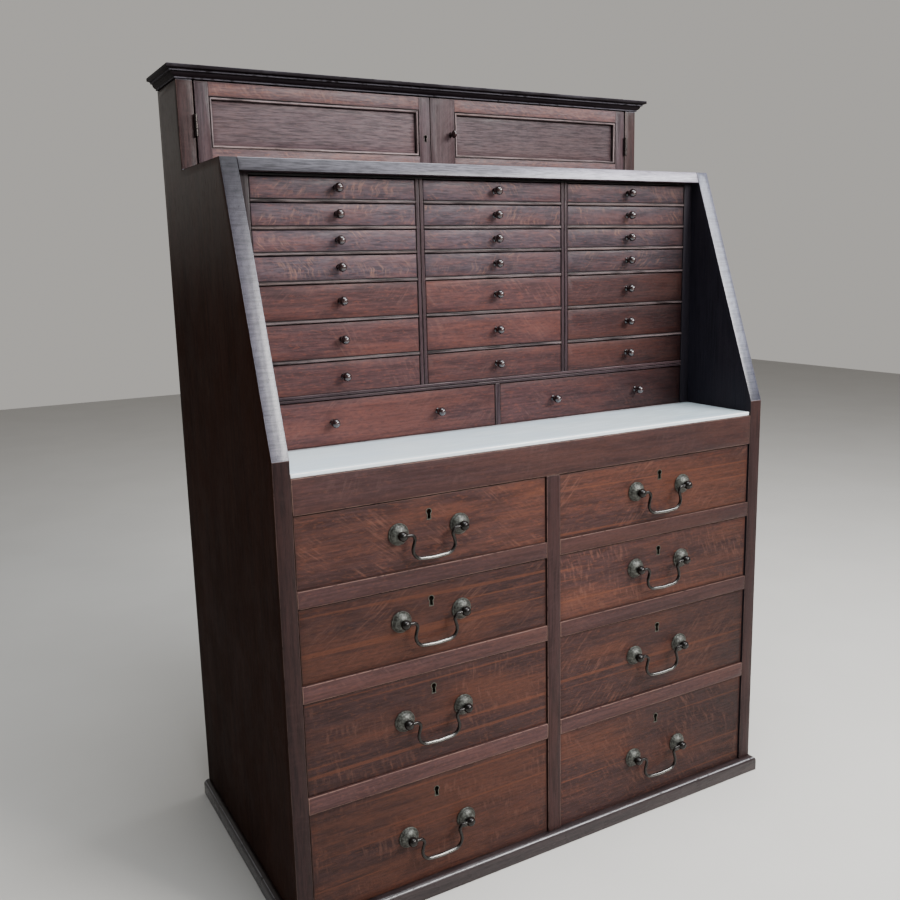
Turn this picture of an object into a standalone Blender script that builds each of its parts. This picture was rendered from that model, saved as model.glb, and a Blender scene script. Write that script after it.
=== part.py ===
"""Oak dental cabinet: a chest of eight drawers, a glass worktop, a nest of small drawers and a cupboard.

Units are metres. X runs to the right, the front looks along -Y and Z points up. The origin is at the
bottom centre of the cabinet's box.
"""

import math

import bmesh
import bpy
from mathutils import Matrix, Vector

# Clearances
SEAT_GAP = 0.0003
BIG_DRAWER_SIDE_GAP = 0.0015
BIG_DRAWER_TOP_GAP = 0.002
SMALL_DRAWER_SIDE_GAP = 0.001
SMALL_DRAWER_TOP_GAP = 0.0015
BIG_DRAWER_REAR_GAP = 0.0223
SMALL_DRAWER_REAR_GAP = 0.0092
DOOR_TOP_GAP = 0.0012
DOOR_MEETING_GAP = 0.0015
SLAB_SIDE_GAP = 0.001
BORE_GAP = 0.0003

# Case
CASE_WIDTH = 0.914
CASE_DEPTH = 0.4753
SIDE_THICKNESS = 0.0254
BACK_THICKNESS = 0.010
BASE_HEIGHT = 0.0275
PLINTH_REACH = 0.010
PLINTH_EDGE = 0.0085
PLINTH_EDGE_STEPS = 3

# Chest of big drawers, rows from the top down
BIG_ROW_HEIGHTS = (0.1077, 0.1136, 0.1446, 0.1706)
HANDLE_RISES = (0.0025, 0.0055, 0.0035, -0.005)
RAIL_HEIGHT = 0.026
RAIL_DEPTH = 0.040
DUST_BOARD_THICKNESS = 0.009
MUNTIN_WIDTH = 0.0253
MUNTIN_DEPTH = 0.025
APRON_HEIGHT = 0.0517
APRON_DEPTH = 0.020
CARCASS_TOP_THICKNESS = 0.018

# Worktop
SLAB_THICKNESS = 0.006
SLAB_SETBACK = 0.0028
STILE_RISE = 0.0195

# Nest of small drawers, rows from the top down
NEST_SETBACK = 0.1601
SMALL_ROW_HEIGHTS = (0.0324, 0.0338, 0.0325, 0.0375, 0.0530, 0.0544, 0.0491)
COLUMN_COUNT = 3
COLUMN_DIVIDER = 0.013
NEST_STILE = 0.01825
ROW_DIVIDER = 0.005
NEST_SHELF = 0.010
WIDE_ROW_HEIGHT = 0.071
WIDE_DIVIDER = 0.009
NEST_FLOOR = 0.0065
NEST_ROOF = 0.004
NEST_TOP_THICKNESS = 0.0188
NEST_TOP_SETBACK = 0.1491

# Cupboard
CUPBOARD_SETBACK = 0.3527
CUPBOARD_HEIGHT = 0.1361
CORNICE_HEIGHT = 0.0194
CORNICE_REACH = 0.0162
CORNICE_LIP = 0.0024
CORNICE_LIP_HEIGHT = 0.0030
CORNICE_BAND_HEIGHT = 0.0058
CORNICE_BAND_STEP = 0.0032
CORNICE_COVE_STEPS = 4
DOOR_THICKNESS = 0.019
DOOR_MEETING_X = -0.0123
DOOR_STILE = 0.0215
DOOR_BOTTOM_RAIL = 0.0335
DOOR_TOP_RAIL = 0.0215
LEFT_MEETING_STILE = 0.0217
RIGHT_MEETING_STILE = 0.0490
PANEL_BEAD_DEPTH = 0.003
PANEL_BEAD_WIDTH = 0.004
PANEL_RECESS = 0.007
PANEL_BACK_RECESS = 0.006

# Drawer boxes
BIG_DRAWER_RECESS = 0.003
BIG_FRONT_THICKNESS = 0.020
BIG_WALL_THICKNESS = 0.012
BIG_BOTTOM_THICKNESS = 0.008
SMALL_DRAWER_RECESS = 0.001
SMALL_FRONT_THICKNESS = 0.014
SMALL_WALL_THICKNESS = 0.008
SMALL_BOTTOM_THICKNESS = 0.005

# Turned knobs
KNOB_RADIUS = 0.0066
KNOB_HEIGHT = 0.0155
KNOB_NECK_RADIUS = 0.0033
KNOB_SHANK_RADIUS = 0.0026
KNOB_SHANK_LENGTH = 0.008
KNOB_STEPS = 8
KNOB_BALL_SWEEP = 140.0
KNOB_BALL_STEPS = 4
WIDE_KNOB_SPACING = 0.186
DOOR_KNOB_INSET = 0.041
DOOR_KNOB_RADIUS = 0.0072
DOOR_KNOB_HEIGHT = 0.0200
DOOR_KNOB_RISE = 0.0055
DOOR_KNOB_OVAL = 0.62

# Drop handles
POST_SPACING = 0.102
POST_REACH = 0.015
POST_BALL_RADIUS = 0.0055
POST_NECK_RADIUS = 0.0034
ROSETTE_RADIUS = 0.0165
ROSETTE_RIM = 0.0024
ROSETTE_DOME_RADIUS = 0.0146
ROSETTE_DOME_HEIGHT = 0.0100
ROSETTE_DOME_STEPS = 3
ROSETTE_SEAT = 0.001
POST_STEPS = 10
POST_BALL_SWEEP = 135.0
POST_BALL_STEPS = 3
BAIL_RADIUS = 0.0026
BAIL_DROP = 0.039
BAIL_ARM_TOP = 0.031
BAIL_CORNER = 0.0375
BAIL_CORNER_DROP = 0.0365
BAIL_GRIP = 0.0035
BAIL_SHOULDER_BEND = 0.006
BAIL_CORNER_BEND = 0.017
BAIL_SAG_BEND = 0.090
BEND_STEPS = 3

# Keyholes
KEYHOLE_DROP = 0.0250
KEYHOLE_RADIUS = 0.0040
KEYHOLE_SLOT_WIDTH = 0.0050
KEYHOLE_SLOT_LENGTH = 0.0115
KEYHOLE_DEPTH = 0.009
BORE_STEPS = 8
DOOR_KEYHOLE_INSET = 0.0105
DOOR_KEYHOLE_SHARE = 0.75

# Butt hinges
HINGE_HEIGHT = 0.034
HINGE_LEAF_THICKNESS = 0.0008
HINGE_LEAF_DEPTH = 0.014
HINGE_LEAF_GAP = 0.0004
KNUCKLE_RADIUS = 0.003
PIN_RADIUS = 0.0012
HINGE_STEPS = 12

# Finishes: colour, roughness, metallic
OAK = ((0.115, 0.052, 0.036), 0.45, 0.0)
DARK_OAK = ((0.060, 0.034, 0.030), 0.50, 0.0)
PALE_OAK = ((0.190, 0.130, 0.110), 0.45, 0.0)
OPAL_GLASS = ((0.720, 0.750, 0.760), 0.12, 0.0)
AGED_BRASS = ((0.260, 0.240, 0.180), 0.35, 1.0)
EBONISED_WOOD = ((0.030, 0.014, 0.011), 0.20, 0.0)

# Levels and planes that follow from the sizes above
CASE_HALF = CASE_WIDTH / 2
INNER_HALF = CASE_HALF - SIDE_THICKNESS
BOARD_HALF = INNER_HALF - SEAT_GAP
BAIL_REACH = POST_REACH + POST_BALL_RADIUS - BIG_DRAWER_RECESS
FRONT_REACH = max(BAIL_REACH, PLINTH_REACH)
FRONT = (FRONT_REACH - CASE_DEPTH) / 2
BACK = FRONT + CASE_DEPTH
BACK_PANEL_FRONT = BACK - BACK_THICKNESS
BOARD_BACK = BACK_PANEL_FRONT - SEAT_GAP
NEST_FRONT = FRONT + NEST_SETBACK
CUPBOARD_FRONT = FRONT + CUPBOARD_SETBACK
CASE_BOTTOM = BASE_HEIGHT + SEAT_GAP
BIG_ROW_COUNT = len(BIG_ROW_HEIGHTS)
CHEST_HEIGHT = sum(BIG_ROW_HEIGHTS) + (BIG_ROW_COUNT - 1) * RAIL_HEIGHT
CHEST_TOP = CASE_BOTTOM + CHEST_HEIGHT
APRON_TOP = CHEST_TOP + APRON_HEIGHT
SLAB_BOTTOM = APRON_TOP + SEAT_GAP
SLAB_TOP = SLAB_BOTTOM + SLAB_THICKNESS
NEST_BOTTOM = APRON_TOP + SEAT_GAP
WIDE_ROW_BOTTOM = NEST_BOTTOM + NEST_FLOOR
WIDE_ROW_TOP = WIDE_ROW_BOTTOM + WIDE_ROW_HEIGHT
SMALL_ROW_COUNT = len(SMALL_ROW_HEIGHTS)
SMALL_ROWS_BOTTOM = WIDE_ROW_TOP + NEST_SHELF
SMALL_ROWS_HEIGHT = sum(SMALL_ROW_HEIGHTS) + (SMALL_ROW_COUNT - 1) * ROW_DIVIDER
SMALL_ROWS_TOP = SMALL_ROWS_BOTTOM + SMALL_ROWS_HEIGHT
NEST_HEAD = SMALL_ROWS_TOP + NEST_ROOF
NEST_TOP_BOTTOM = NEST_HEAD + SEAT_GAP
LEDGE = NEST_TOP_BOTTOM + NEST_TOP_THICKNESS
STILE_TOP = SLAB_TOP + STILE_RISE
CUPBOARD_TOP = LEDGE + CUPBOARD_HEIGHT
CORNICE_BOTTOM = CUPBOARD_TOP + SEAT_GAP
SLOPE = NEST_TOP_SETBACK / (LEDGE - STILE_TOP)
BIG_DRAWER_CENTRE = (MUNTIN_WIDTH / 2 + INNER_HALF) / 2
BIG_OPENING_WIDTH = INNER_HALF - MUNTIN_WIDTH / 2
NEST_HALF = INNER_HALF - NEST_STILE
COLUMN_WIDTH = (2 * NEST_HALF - (COLUMN_COUNT - 1) * COLUMN_DIVIDER) / COLUMN_COUNT
BIG_DRAWER_DEPTH = CASE_DEPTH - BACK_THICKNESS - BIG_DRAWER_RECESS - BIG_DRAWER_REAR_GAP
SMALL_DRAWER_DEPTH = BACK_PANEL_FRONT - NEST_FRONT - SMALL_DRAWER_RECESS - SMALL_DRAWER_REAR_GAP
HINGE_SPACE = 2 * (SEAT_GAP + HINGE_LEAF_THICKNESS) + HINGE_LEAF_GAP
HINGE_AXIS_X = INNER_HALF - HINGE_SPACE / 2
HINGE_AXIS_Y = CUPBOARD_FRONT - KNUCKLE_RADIUS - SEAT_GAP
DOOR_HALF = INNER_HALF - HINGE_SPACE
DOOR_BOTTOM = LEDGE + SEAT_GAP
DOOR_TOP = CUPBOARD_TOP - DOOR_TOP_GAP
DOOR_MIDDLE = (DOOR_BOTTOM + DOOR_TOP) / 2
CUT_MARGIN = 0.002


def clear_scene():
    """Remove every object of the open scene."""
    for item in list(bpy.data.objects):
        bpy.data.objects.remove(item, do_unlink=True)


def new_collection(name):
    """Return a new collection linked to the scene."""
    collection = bpy.data.collections.new(name)
    bpy.context.scene.collection.children.link(collection)
    return collection


clear_scene()
PARTS = new_collection("dental_cabinet")
CUTTERS = new_collection("cutters")


def finish(name, values):
    """Return a Principled material with a colour, a roughness and a metallic value."""
    colour, roughness, metallic = values
    material = bpy.data.materials.new(name + "_finish")
    material.use_nodes = True
    shader = material.node_tree.nodes["Principled BSDF"]
    shader.inputs["Base Color"].default_value = (*colour, 1.0)
    shader.inputs["Roughness"].default_value = roughness
    shader.inputs["Metallic"].default_value = metallic
    material.diffuse_color = (*colour, 1.0)
    return material


def add_part(name, data, values, origin=(0.0, 0.0, 0.0)):
    """Link a sub-part to the cabinet's collection with its own finish."""
    part = bpy.data.objects.new(name, data)
    part.location = origin
    data.materials.clear()
    data.materials.append(finish(name, values))
    PARTS.objects.link(part)
    return part


def add_tool(name, data, origin=(0.0, 0.0, 0.0)):
    """Link a shape that only cuts, or is joined to, another piece."""
    tool = bpy.data.objects.new(name, data)
    tool.location = origin
    tool.hide_render = True
    tool.display_type = "WIRE"
    CUTTERS.objects.link(tool)
    return tool


def combine(part, tool, operation):
    """Cut a tool from a part, or join it on, with an exact Boolean."""
    step = part.modifiers.new(tool.name, "BOOLEAN")
    step.operation = operation
    step.solver = "EXACT"
    step.object = tool
    return part


def cut(part, tool):
    """Cut a tool from a part."""
    return combine(part, tool, "DIFFERENCE")


def join(part, tool):
    """Join a tool to a part."""
    return combine(part, tool, "UNION")


def box_mesh(name, low, high, origin=(0.0, 0.0, 0.0)):
    """Return a box between two corners, with its points taken from an origin."""
    low, high = Vector(low), Vector(high)
    mesh = bpy.data.meshes.new(name)
    bm = bmesh.new()
    bmesh.ops.create_cube(bm, size=1.0)
    bmesh.ops.scale(bm, vec=high - low, verts=bm.verts)
    bmesh.ops.translate(bm, vec=(low + high) / 2 - Vector(origin), verts=bm.verts)
    bm.to_mesh(mesh)
    bm.free()
    return mesh


def board(name, low, high, values, origin=(0.0, 0.0, 0.0)):
    """Add a plain board between two corners."""
    return add_part(name, box_mesh(name, low, high, origin), values, origin)


def block(name, low, high):
    """Add a box-shaped tool between two corners."""
    return add_tool(name, box_mesh(name, low, high))


def rod_mesh(name, radius, length, axis, steps):
    """Return a rod centred on its origin, along X, Y or Z."""
    turns = {"X": Matrix.Rotation(math.pi / 2, 4, "Y"), "Y": Matrix.Rotation(math.pi / 2, 4, "X")}
    mesh = bpy.data.meshes.new(name)
    bm = bmesh.new()
    bmesh.ops.create_cone(bm, cap_ends=True, segments=steps, radius1=radius, radius2=radius, depth=length)
    bmesh.ops.transform(bm, matrix=turns.get(axis, Matrix.Identity(4)), verts=bm.verts)
    bm.to_mesh(mesh)
    bm.free()
    return mesh


def rod(name, radius, length, axis, steps, centre):
    """Add a rod-shaped tool at a place."""
    return add_tool(name, rod_mesh(name, radius, length, axis, steps), centre)


def turned_mesh(name, profile, steps):
    """Return a shape turned about -Y from (radius, reach) points that run from its tip to its seat."""
    outline = bpy.data.meshes.new(name + "_profile")
    points = [(radius, 0.0, reach) for radius, reach in profile]
    edges = [(index, index + 1) for index in range(len(points) - 1)]
    outline.from_pydata(points, edges, [])
    lathe = bpy.data.objects.new(name + "_lathe", outline)
    bpy.context.scene.collection.objects.link(lathe)
    screw = lathe.modifiers.new("turn", "SCREW")
    screw.steps = steps
    screw.render_steps = steps
    screw.use_merge_vertices = True
    screw.merge_threshold = 0.0001
    bpy.context.view_layer.update()
    turned = lathe.evaluated_get(bpy.context.evaluated_depsgraph_get())
    mesh = bpy.data.meshes.new_from_object(turned)
    mesh.transform(Matrix.Rotation(math.pi / 2, 4, "X"))
    mesh.name = name
    bpy.data.objects.remove(lathe, do_unlink=True)
    return mesh


def outline_board(name, points, width, values, middle):
    """Add a board whose (depth, height) outline is extruded across the cabinet."""
    curve = bpy.data.curves.new(name, "CURVE")
    curve.dimensions = "2D"
    curve.fill_mode = "BOTH"
    curve.extrude = width / 2
    spline = curve.splines.new("POLY")
    spline.points.add(len(points) - 1)
    spline.use_cyclic_u = True
    for point, (depth, height) in zip(spline.points, points):
        point.co = (depth, height, 0.0, 1.0)
    part = add_part(name, curve, values, (middle, 0.0, 0.0))
    part.rotation_euler = (math.pi / 2, 0.0, math.pi / 2)
    return part


def moulded_board(name, front, bottom, sections, values):
    """Add a board whose front and side edges follow (reach, height) sections; its back stays flat."""
    middle = (front + BACK) / 2

    def place(face, reach, height):
        for vert in face.verts:
            vert.co.x = math.copysign(CASE_HALF + reach, vert.co.x)
            vert.co.y = BACK if vert.co.y > middle else front - reach
            vert.co.z = bottom + height

    mesh = bpy.data.meshes.new(name)
    bm = bmesh.new()
    bmesh.ops.create_cube(bm, size=CASE_WIDTH)
    bmesh.ops.translate(bm, vec=(0.0, middle, 0.0), verts=bm.verts)
    under, *_, top = sorted(bm.faces, key=lambda face: face.calc_center_median().z)
    place(under, *sections[0])
    place(top, *sections[1])
    for section in sections[2:]:
        top = bmesh.ops.extrude_discrete_faces(bm, faces=[top])["faces"][0]
        place(top, *section)
    bmesh.ops.recalc_face_normals(bm, faces=bm.faces)
    bm.to_mesh(mesh)
    bm.free()
    return add_part(name, mesh, values)


def bent_path(corners, bends):
    """Return a path through corners, each inner corner rounded by an arc of its own radius."""
    path = [Vector(corners[0])]
    for before, corner, after, radius in zip(corners, corners[1:], corners[2:], bends):
        corner = Vector(corner)
        inward = (Vector(before) - corner).normalized()
        outward = (Vector(after) - corner).normalized()
        half_angle = inward.angle(outward) / 2
        middle = (inward + outward).normalized()
        centre = corner + middle * (radius / math.sin(half_angle))
        start = (corner + inward * (radius / math.tan(half_angle)) - centre).normalized()
        end = (corner + outward * (radius / math.tan(half_angle)) - centre).normalized()
        for step in range(BEND_STEPS + 1):
            path.append(centre + radius * start.slerp(end, step / BEND_STEPS))
    path.append(Vector(corners[-1]))
    return path


def wire(name, path, radius, values, origin):
    """Add a round wire along a path given from its origin."""
    curve = bpy.data.curves.new(name, "CURVE")
    curve.dimensions = "3D"
    curve.bevel_depth = radius
    curve.bevel_resolution = 2
    curve.use_fill_caps = True
    spline = curve.splines.new("POLY")
    spline.points.add(len(path) - 1)
    for point, place in zip(spline.points, path):
        point.co = (*place, 1.0)
    return add_part(name, curve, values, origin)


def ball_arc(radius, reach, sweep, steps):
    """Return (radius, reach) points on a ball, from its tip round to an angle in degrees."""
    points = []
    for step in range(steps + 1):
        angle = math.radians(sweep * step / steps)
        points.append((radius * math.sin(angle), reach + radius * math.cos(angle)))
    return points


def knob_profile(radius, height):
    """Return a turned knob's profile, down to the end of its shank."""
    ball_reach = height - radius
    profile = ball_arc(radius, ball_reach, KNOB_BALL_SWEEP, KNOB_BALL_STEPS)
    profile.append((KNOB_NECK_RADIUS, ball_reach - radius))
    profile.append((KNOB_NECK_RADIUS, SEAT_GAP))
    profile.append((KNOB_SHANK_RADIUS, SEAT_GAP))
    profile.append((KNOB_SHANK_RADIUS, -KNOB_SHANK_LENGTH))
    profile.append((0.0, -KNOB_SHANK_LENGTH))
    return profile


def post_profile():
    """Return the profile of a handle's ball, neck and stepped rosette."""
    profile = ball_arc(POST_BALL_RADIUS, POST_REACH, POST_BALL_SWEEP, POST_BALL_STEPS)
    dome_width = ROSETTE_DOME_RADIUS - POST_NECK_RADIUS
    dome_rise = ROSETTE_DOME_HEIGHT - ROSETTE_RIM
    for step in range(ROSETTE_DOME_STEPS + 1):
        angle = math.pi / 2 * step / ROSETTE_DOME_STEPS
        radius = POST_NECK_RADIUS + dome_width * math.sin(angle)
        profile.append((radius, ROSETTE_RIM + dome_rise * math.cos(angle)))
    profile.append((ROSETTE_RADIUS, ROSETTE_RIM))
    profile.append((ROSETTE_RADIUS, -ROSETTE_SEAT))
    profile.append((0.0, -ROSETTE_SEAT))
    return profile


KNOB_MESH = turned_mesh("knob", knob_profile(KNOB_RADIUS, KNOB_HEIGHT), KNOB_STEPS)
POST_MESH = turned_mesh("post", post_profile(), POST_STEPS)


def keyhole(part, x, front, z, share=1.0):
    """Cut a keyhole into a front: a round head with a slot below it, at a share of the full size."""
    place = (x, front, z)
    radius, slot_half = share * KEYHOLE_RADIUS, share * KEYHOLE_SLOT_WIDTH / 2
    head = rod(part.name + "_key_head", radius, 2 * KEYHOLE_DEPTH, "Y", BORE_STEPS, place)
    low = (x - slot_half, front - KEYHOLE_DEPTH, z - share * KEYHOLE_SLOT_LENGTH)
    high = (x + slot_half, front + KEYHOLE_DEPTH, z)
    slot = block(part.name + "_key_slot", low, high)
    cut(part, head)
    cut(part, slot)


def drawer(name, centre, width, bottom, height, front, depth, front_thickness, wall, floor):
    """Add an open drawer box with its origin at the middle of its front face."""
    left, right = centre - width / 2, centre + width / 2
    back, top = front + depth, bottom + height
    origin = (centre, front, bottom + height / 2)
    part = board(name, (left, front, bottom), (right, back, top), OAK, origin)
    low = (left + wall, front + front_thickness, bottom + floor)
    high = (right - wall, back - wall, top + height)
    cut(part, block(name + "_inside", low, high))
    return part


def add_knob(part, x, front, z, label):
    """Join a turned knob to a drawer's front."""
    join(part, add_tool(part.name + label, KNOB_MESH, (x, front, z)))


def small_drawer(name, centre, opening_width, bottom, opening_height, knob_places):
    """Add a drawer of the nest with its knobs."""
    width = opening_width - 2 * SMALL_DRAWER_SIDE_GAP
    height = opening_height - SEAT_GAP - SMALL_DRAWER_TOP_GAP
    front = NEST_FRONT + SMALL_DRAWER_RECESS
    part = drawer(name, centre, width, bottom + SEAT_GAP, height, front, SMALL_DRAWER_DEPTH,
                  SMALL_FRONT_THICKNESS, SMALL_WALL_THICKNESS, SMALL_BOTTOM_THICKNESS)
    for index, offset in enumerate(knob_places):
        add_knob(part, centre + offset, front, bottom + opening_height / 2, f"_knob_{index + 1}")
    return part


def bail_path():
    """Return the path of a swan-neck bail, from one post to the other."""
    end = POST_SPACING / 2 - POST_BALL_RADIUS + BAIL_GRIP
    half = [(end, 0.0, 0.0), (BAIL_ARM_TOP, 0.0, 0.0), (BAIL_CORNER, 0.0, -BAIL_CORNER_DROP)]
    mirrored = [(-x, y, z) for x, y, z in reversed(half)]
    corners = half + [(0.0, 0.0, -BAIL_DROP)] + mirrored
    bends = [BAIL_SHOULDER_BEND, BAIL_CORNER_BEND, BAIL_SAG_BEND, BAIL_CORNER_BEND, BAIL_SHOULDER_BEND]
    return bent_path(corners, bends)


def big_drawer(side, number, centre, bottom, opening_height, rise):
    """Add a big drawer with its keyhole and handle posts, and the bail that hangs between them."""
    name = f"big_drawer_{side}_{number}"
    width = BIG_OPENING_WIDTH - 2 * BIG_DRAWER_SIDE_GAP
    height = opening_height - SEAT_GAP - BIG_DRAWER_TOP_GAP
    front = FRONT + BIG_DRAWER_RECESS
    part = drawer(name, centre, width, bottom + SEAT_GAP, height, front, BIG_DRAWER_DEPTH,
                  BIG_FRONT_THICKNESS, BIG_WALL_THICKNESS, BIG_BOTTOM_THICKNESS)
    handle = bottom + opening_height / 2 + rise
    keyhole(part, centre, front, bottom + opening_height - KEYHOLE_DROP)
    for label, offset in (("_post_a", -POST_SPACING / 2), ("_post_b", POST_SPACING / 2)):
        join(part, add_tool(name + label, POST_MESH, (centre + offset, front, handle)))
    bore_length = POST_SPACING - 2 * (POST_BALL_RADIUS - BAIL_GRIP - BORE_GAP)
    pivot = (centre, front - POST_REACH, handle)
    cut(part, rod(name + "_bore", BAIL_RADIUS + BORE_GAP, bore_length, "X", BORE_STEPS, pivot))
    wire(f"bail_{side}_{number}", bail_path(), BAIL_RADIUS, AGED_BRASS, pivot)


def add_case():
    """Add the boards of the case."""
    sections = [(PLINTH_REACH, 0.0)]
    for step in range(PLINTH_EDGE_STEPS + 1):
        angle = math.pi / 2 * step / PLINTH_EDGE_STEPS
        reach = PLINTH_REACH - PLINTH_EDGE * (1.0 - math.cos(angle))
        sections.append((reach, BASE_HEIGHT - PLINTH_EDGE * (1.0 - math.sin(angle))))
    moulded_board("base_board", FRONT, 0.0, sections, OAK)
    outline = [
        (FRONT, CASE_BOTTOM),
        (FRONT, STILE_TOP),
        (FRONT + NEST_TOP_SETBACK, LEDGE),
        (CUPBOARD_FRONT, LEDGE),
        (CUPBOARD_FRONT, CUPBOARD_TOP),
        (BACK, CUPBOARD_TOP),
        (BACK, CASE_BOTTOM),
    ]
    middle = CASE_HALF - SIDE_THICKNESS / 2
    outline_board("side_left", outline, SIDE_THICKNESS, DARK_OAK, -middle)
    outline_board("side_right", outline, SIDE_THICKNESS, DARK_OAK, middle)
    low = (-BOARD_HALF, BACK_PANEL_FRONT, CASE_BOTTOM)
    board("back_panel", low, (BOARD_HALF, BACK, CUPBOARD_TOP), DARK_OAK)


def add_chest_frame():
    """Add the muntin, the rails with their dust boards, the apron and the carcass top."""
    muntin_half = MUNTIN_WIDTH / 2
    low = (-muntin_half, FRONT, CASE_BOTTOM)
    high = (muntin_half, FRONT + MUNTIN_DEPTH, CHEST_TOP - SEAT_GAP)
    board("centre_muntin", low, high, OAK)
    top = CHEST_TOP
    for index, row_height in enumerate(BIG_ROW_HEIGHTS[:-1]):
        top -= row_height
        bottom = top - RAIL_HEIGHT
        name = f"drawer_rail_{index + 1}"
        rail = board(name, (-BOARD_HALF, FRONT, bottom), (BOARD_HALF, BOARD_BACK, top), OAK)
        low = (-CASE_WIDTH, FRONT + RAIL_DEPTH, bottom - CUT_MARGIN)
        high = (CASE_WIDTH, BACK, top - DUST_BOARD_THICKNESS)
        cut(rail, block(name + "_under", low, high))
        notch = muntin_half + SEAT_GAP
        low = (-notch, FRONT - CUT_MARGIN, bottom - CUT_MARGIN)
        high = (notch, FRONT + MUNTIN_DEPTH + SEAT_GAP, top + CUT_MARGIN)
        cut(rail, block(name + "_notch", low, high))
        top = bottom
    low = (-BOARD_HALF, FRONT, CHEST_TOP)
    board("apron_rail", low, (BOARD_HALF, FRONT + APRON_DEPTH, APRON_TOP), OAK)
    low = (-BOARD_HALF, FRONT + APRON_DEPTH + SEAT_GAP, APRON_TOP - CARCASS_TOP_THICKNESS)
    board("carcass_top", low, (BOARD_HALF, BOARD_BACK, APRON_TOP), OAK)
    slab_half = INNER_HALF - SLAB_SIDE_GAP
    low = (-slab_half, FRONT + SLAB_SETBACK, SLAB_BOTTOM)
    board("worktop_slab", low, (slab_half, NEST_FRONT - SEAT_GAP, SLAB_TOP), OPAL_GLASS)


def column_centre(column):
    """Return the middle of a column of small drawers."""
    return (column - (COLUMN_COUNT - 1) / 2) * (COLUMN_WIDTH + COLUMN_DIVIDER)


def small_row_bottoms():
    """Return the floor level of each row of small drawers, from the top row down."""
    level = SMALL_ROWS_TOP
    bottoms = []
    for height in SMALL_ROW_HEIGHTS:
        level -= height
        bottoms.append(level)
        level -= ROW_DIVIDER
    return bottoms


def add_nest():
    """Add the nest's frame, its top board and its drawers."""
    low = (-BOARD_HALF, NEST_FRONT, NEST_BOTTOM)
    frame = board("nest_frame", low, (BOARD_HALF, BOARD_BACK, NEST_HEAD), OAK)
    wide_width = NEST_HALF - WIDE_DIVIDER / 2
    wide_centre = (NEST_HALF + WIDE_DIVIDER / 2) / 2
    cells = []
    for side, centre in (("left", -wide_centre), ("right", wide_centre)):
        knobs = (-WIDE_KNOB_SPACING / 2, WIDE_KNOB_SPACING / 2)
        cells.append((f"wide_drawer_{side}", centre, wide_width, WIDE_ROW_BOTTOM, WIDE_ROW_HEIGHT, knobs))
    for row, (bottom, height) in enumerate(zip(small_row_bottoms(), SMALL_ROW_HEIGHTS)):
        for column in range(COLUMN_COUNT):
            name = f"small_drawer_{row + 1}_{column + 1}"
            cells.append((name, column_centre(column), COLUMN_WIDTH, bottom, height, (0.0,)))
    for name, centre, width, bottom, height, knobs in cells:
        low = (centre - width / 2, NEST_FRONT - CUT_MARGIN, bottom)
        high = (centre + width / 2, BOARD_BACK + CUT_MARGIN, bottom + height)
        cut(frame, block(name + "_cell", low, high))
        small_drawer(name, centre, width, bottom, height, knobs)
    slope_bottom = FRONT + (NEST_TOP_BOTTOM - STILE_TOP) * SLOPE
    outline = [
        (slope_bottom, NEST_TOP_BOTTOM),
        (FRONT + NEST_TOP_SETBACK, LEDGE),
        (BOARD_BACK, LEDGE),
        (BOARD_BACK, NEST_TOP_BOTTOM),
    ]
    outline_board("nest_top", outline, 2 * BOARD_HALF, PALE_OAK, 0.0)


def add_big_drawers():
    """Add both columns of big drawers."""
    level = CHEST_TOP
    for index, (height, rise) in enumerate(zip(BIG_ROW_HEIGHTS, HANDLE_RISES)):
        bottom = level - height
        for side, sign in (("left", -1.0), ("right", 1.0)):
            big_drawer(side, index + 1, sign * BIG_DRAWER_CENTRE, bottom, height, rise)
        level = bottom - RAIL_HEIGHT


def add_door(name, left, right, left_stile, right_stile, origin):
    """Add a framed door with a beaded panel, with its origin on its hinge axis."""
    back = CUPBOARD_FRONT + DOOR_THICKNESS
    part = board(name, (left, CUPBOARD_FRONT, DOOR_BOTTOM), (right, back, DOOR_TOP), OAK, origin)
    panel_left, panel_right = left + left_stile, right - right_stile
    panel_low, panel_high = DOOR_BOTTOM + DOOR_BOTTOM_RAIL, DOOR_TOP - DOOR_TOP_RAIL
    bead = PANEL_BEAD_WIDTH
    low = (panel_left, CUPBOARD_FRONT - CUT_MARGIN, panel_low)
    high = (panel_right, CUPBOARD_FRONT + PANEL_BEAD_DEPTH, panel_high)
    cut(part, block(name + "_bead", low, high))
    low = (panel_left + bead, CUPBOARD_FRONT - CUT_MARGIN, panel_low + bead)
    high = (panel_right - bead, CUPBOARD_FRONT + PANEL_RECESS, panel_high - bead)
    cut(part, block(name + "_panel", low, high))
    low = (panel_left + bead, back - PANEL_BACK_RECESS, panel_low + bead)
    high = (panel_right - bead, back + CUT_MARGIN, panel_high - bead)
    cut(part, block(name + "_back", low, high))
    return part


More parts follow.
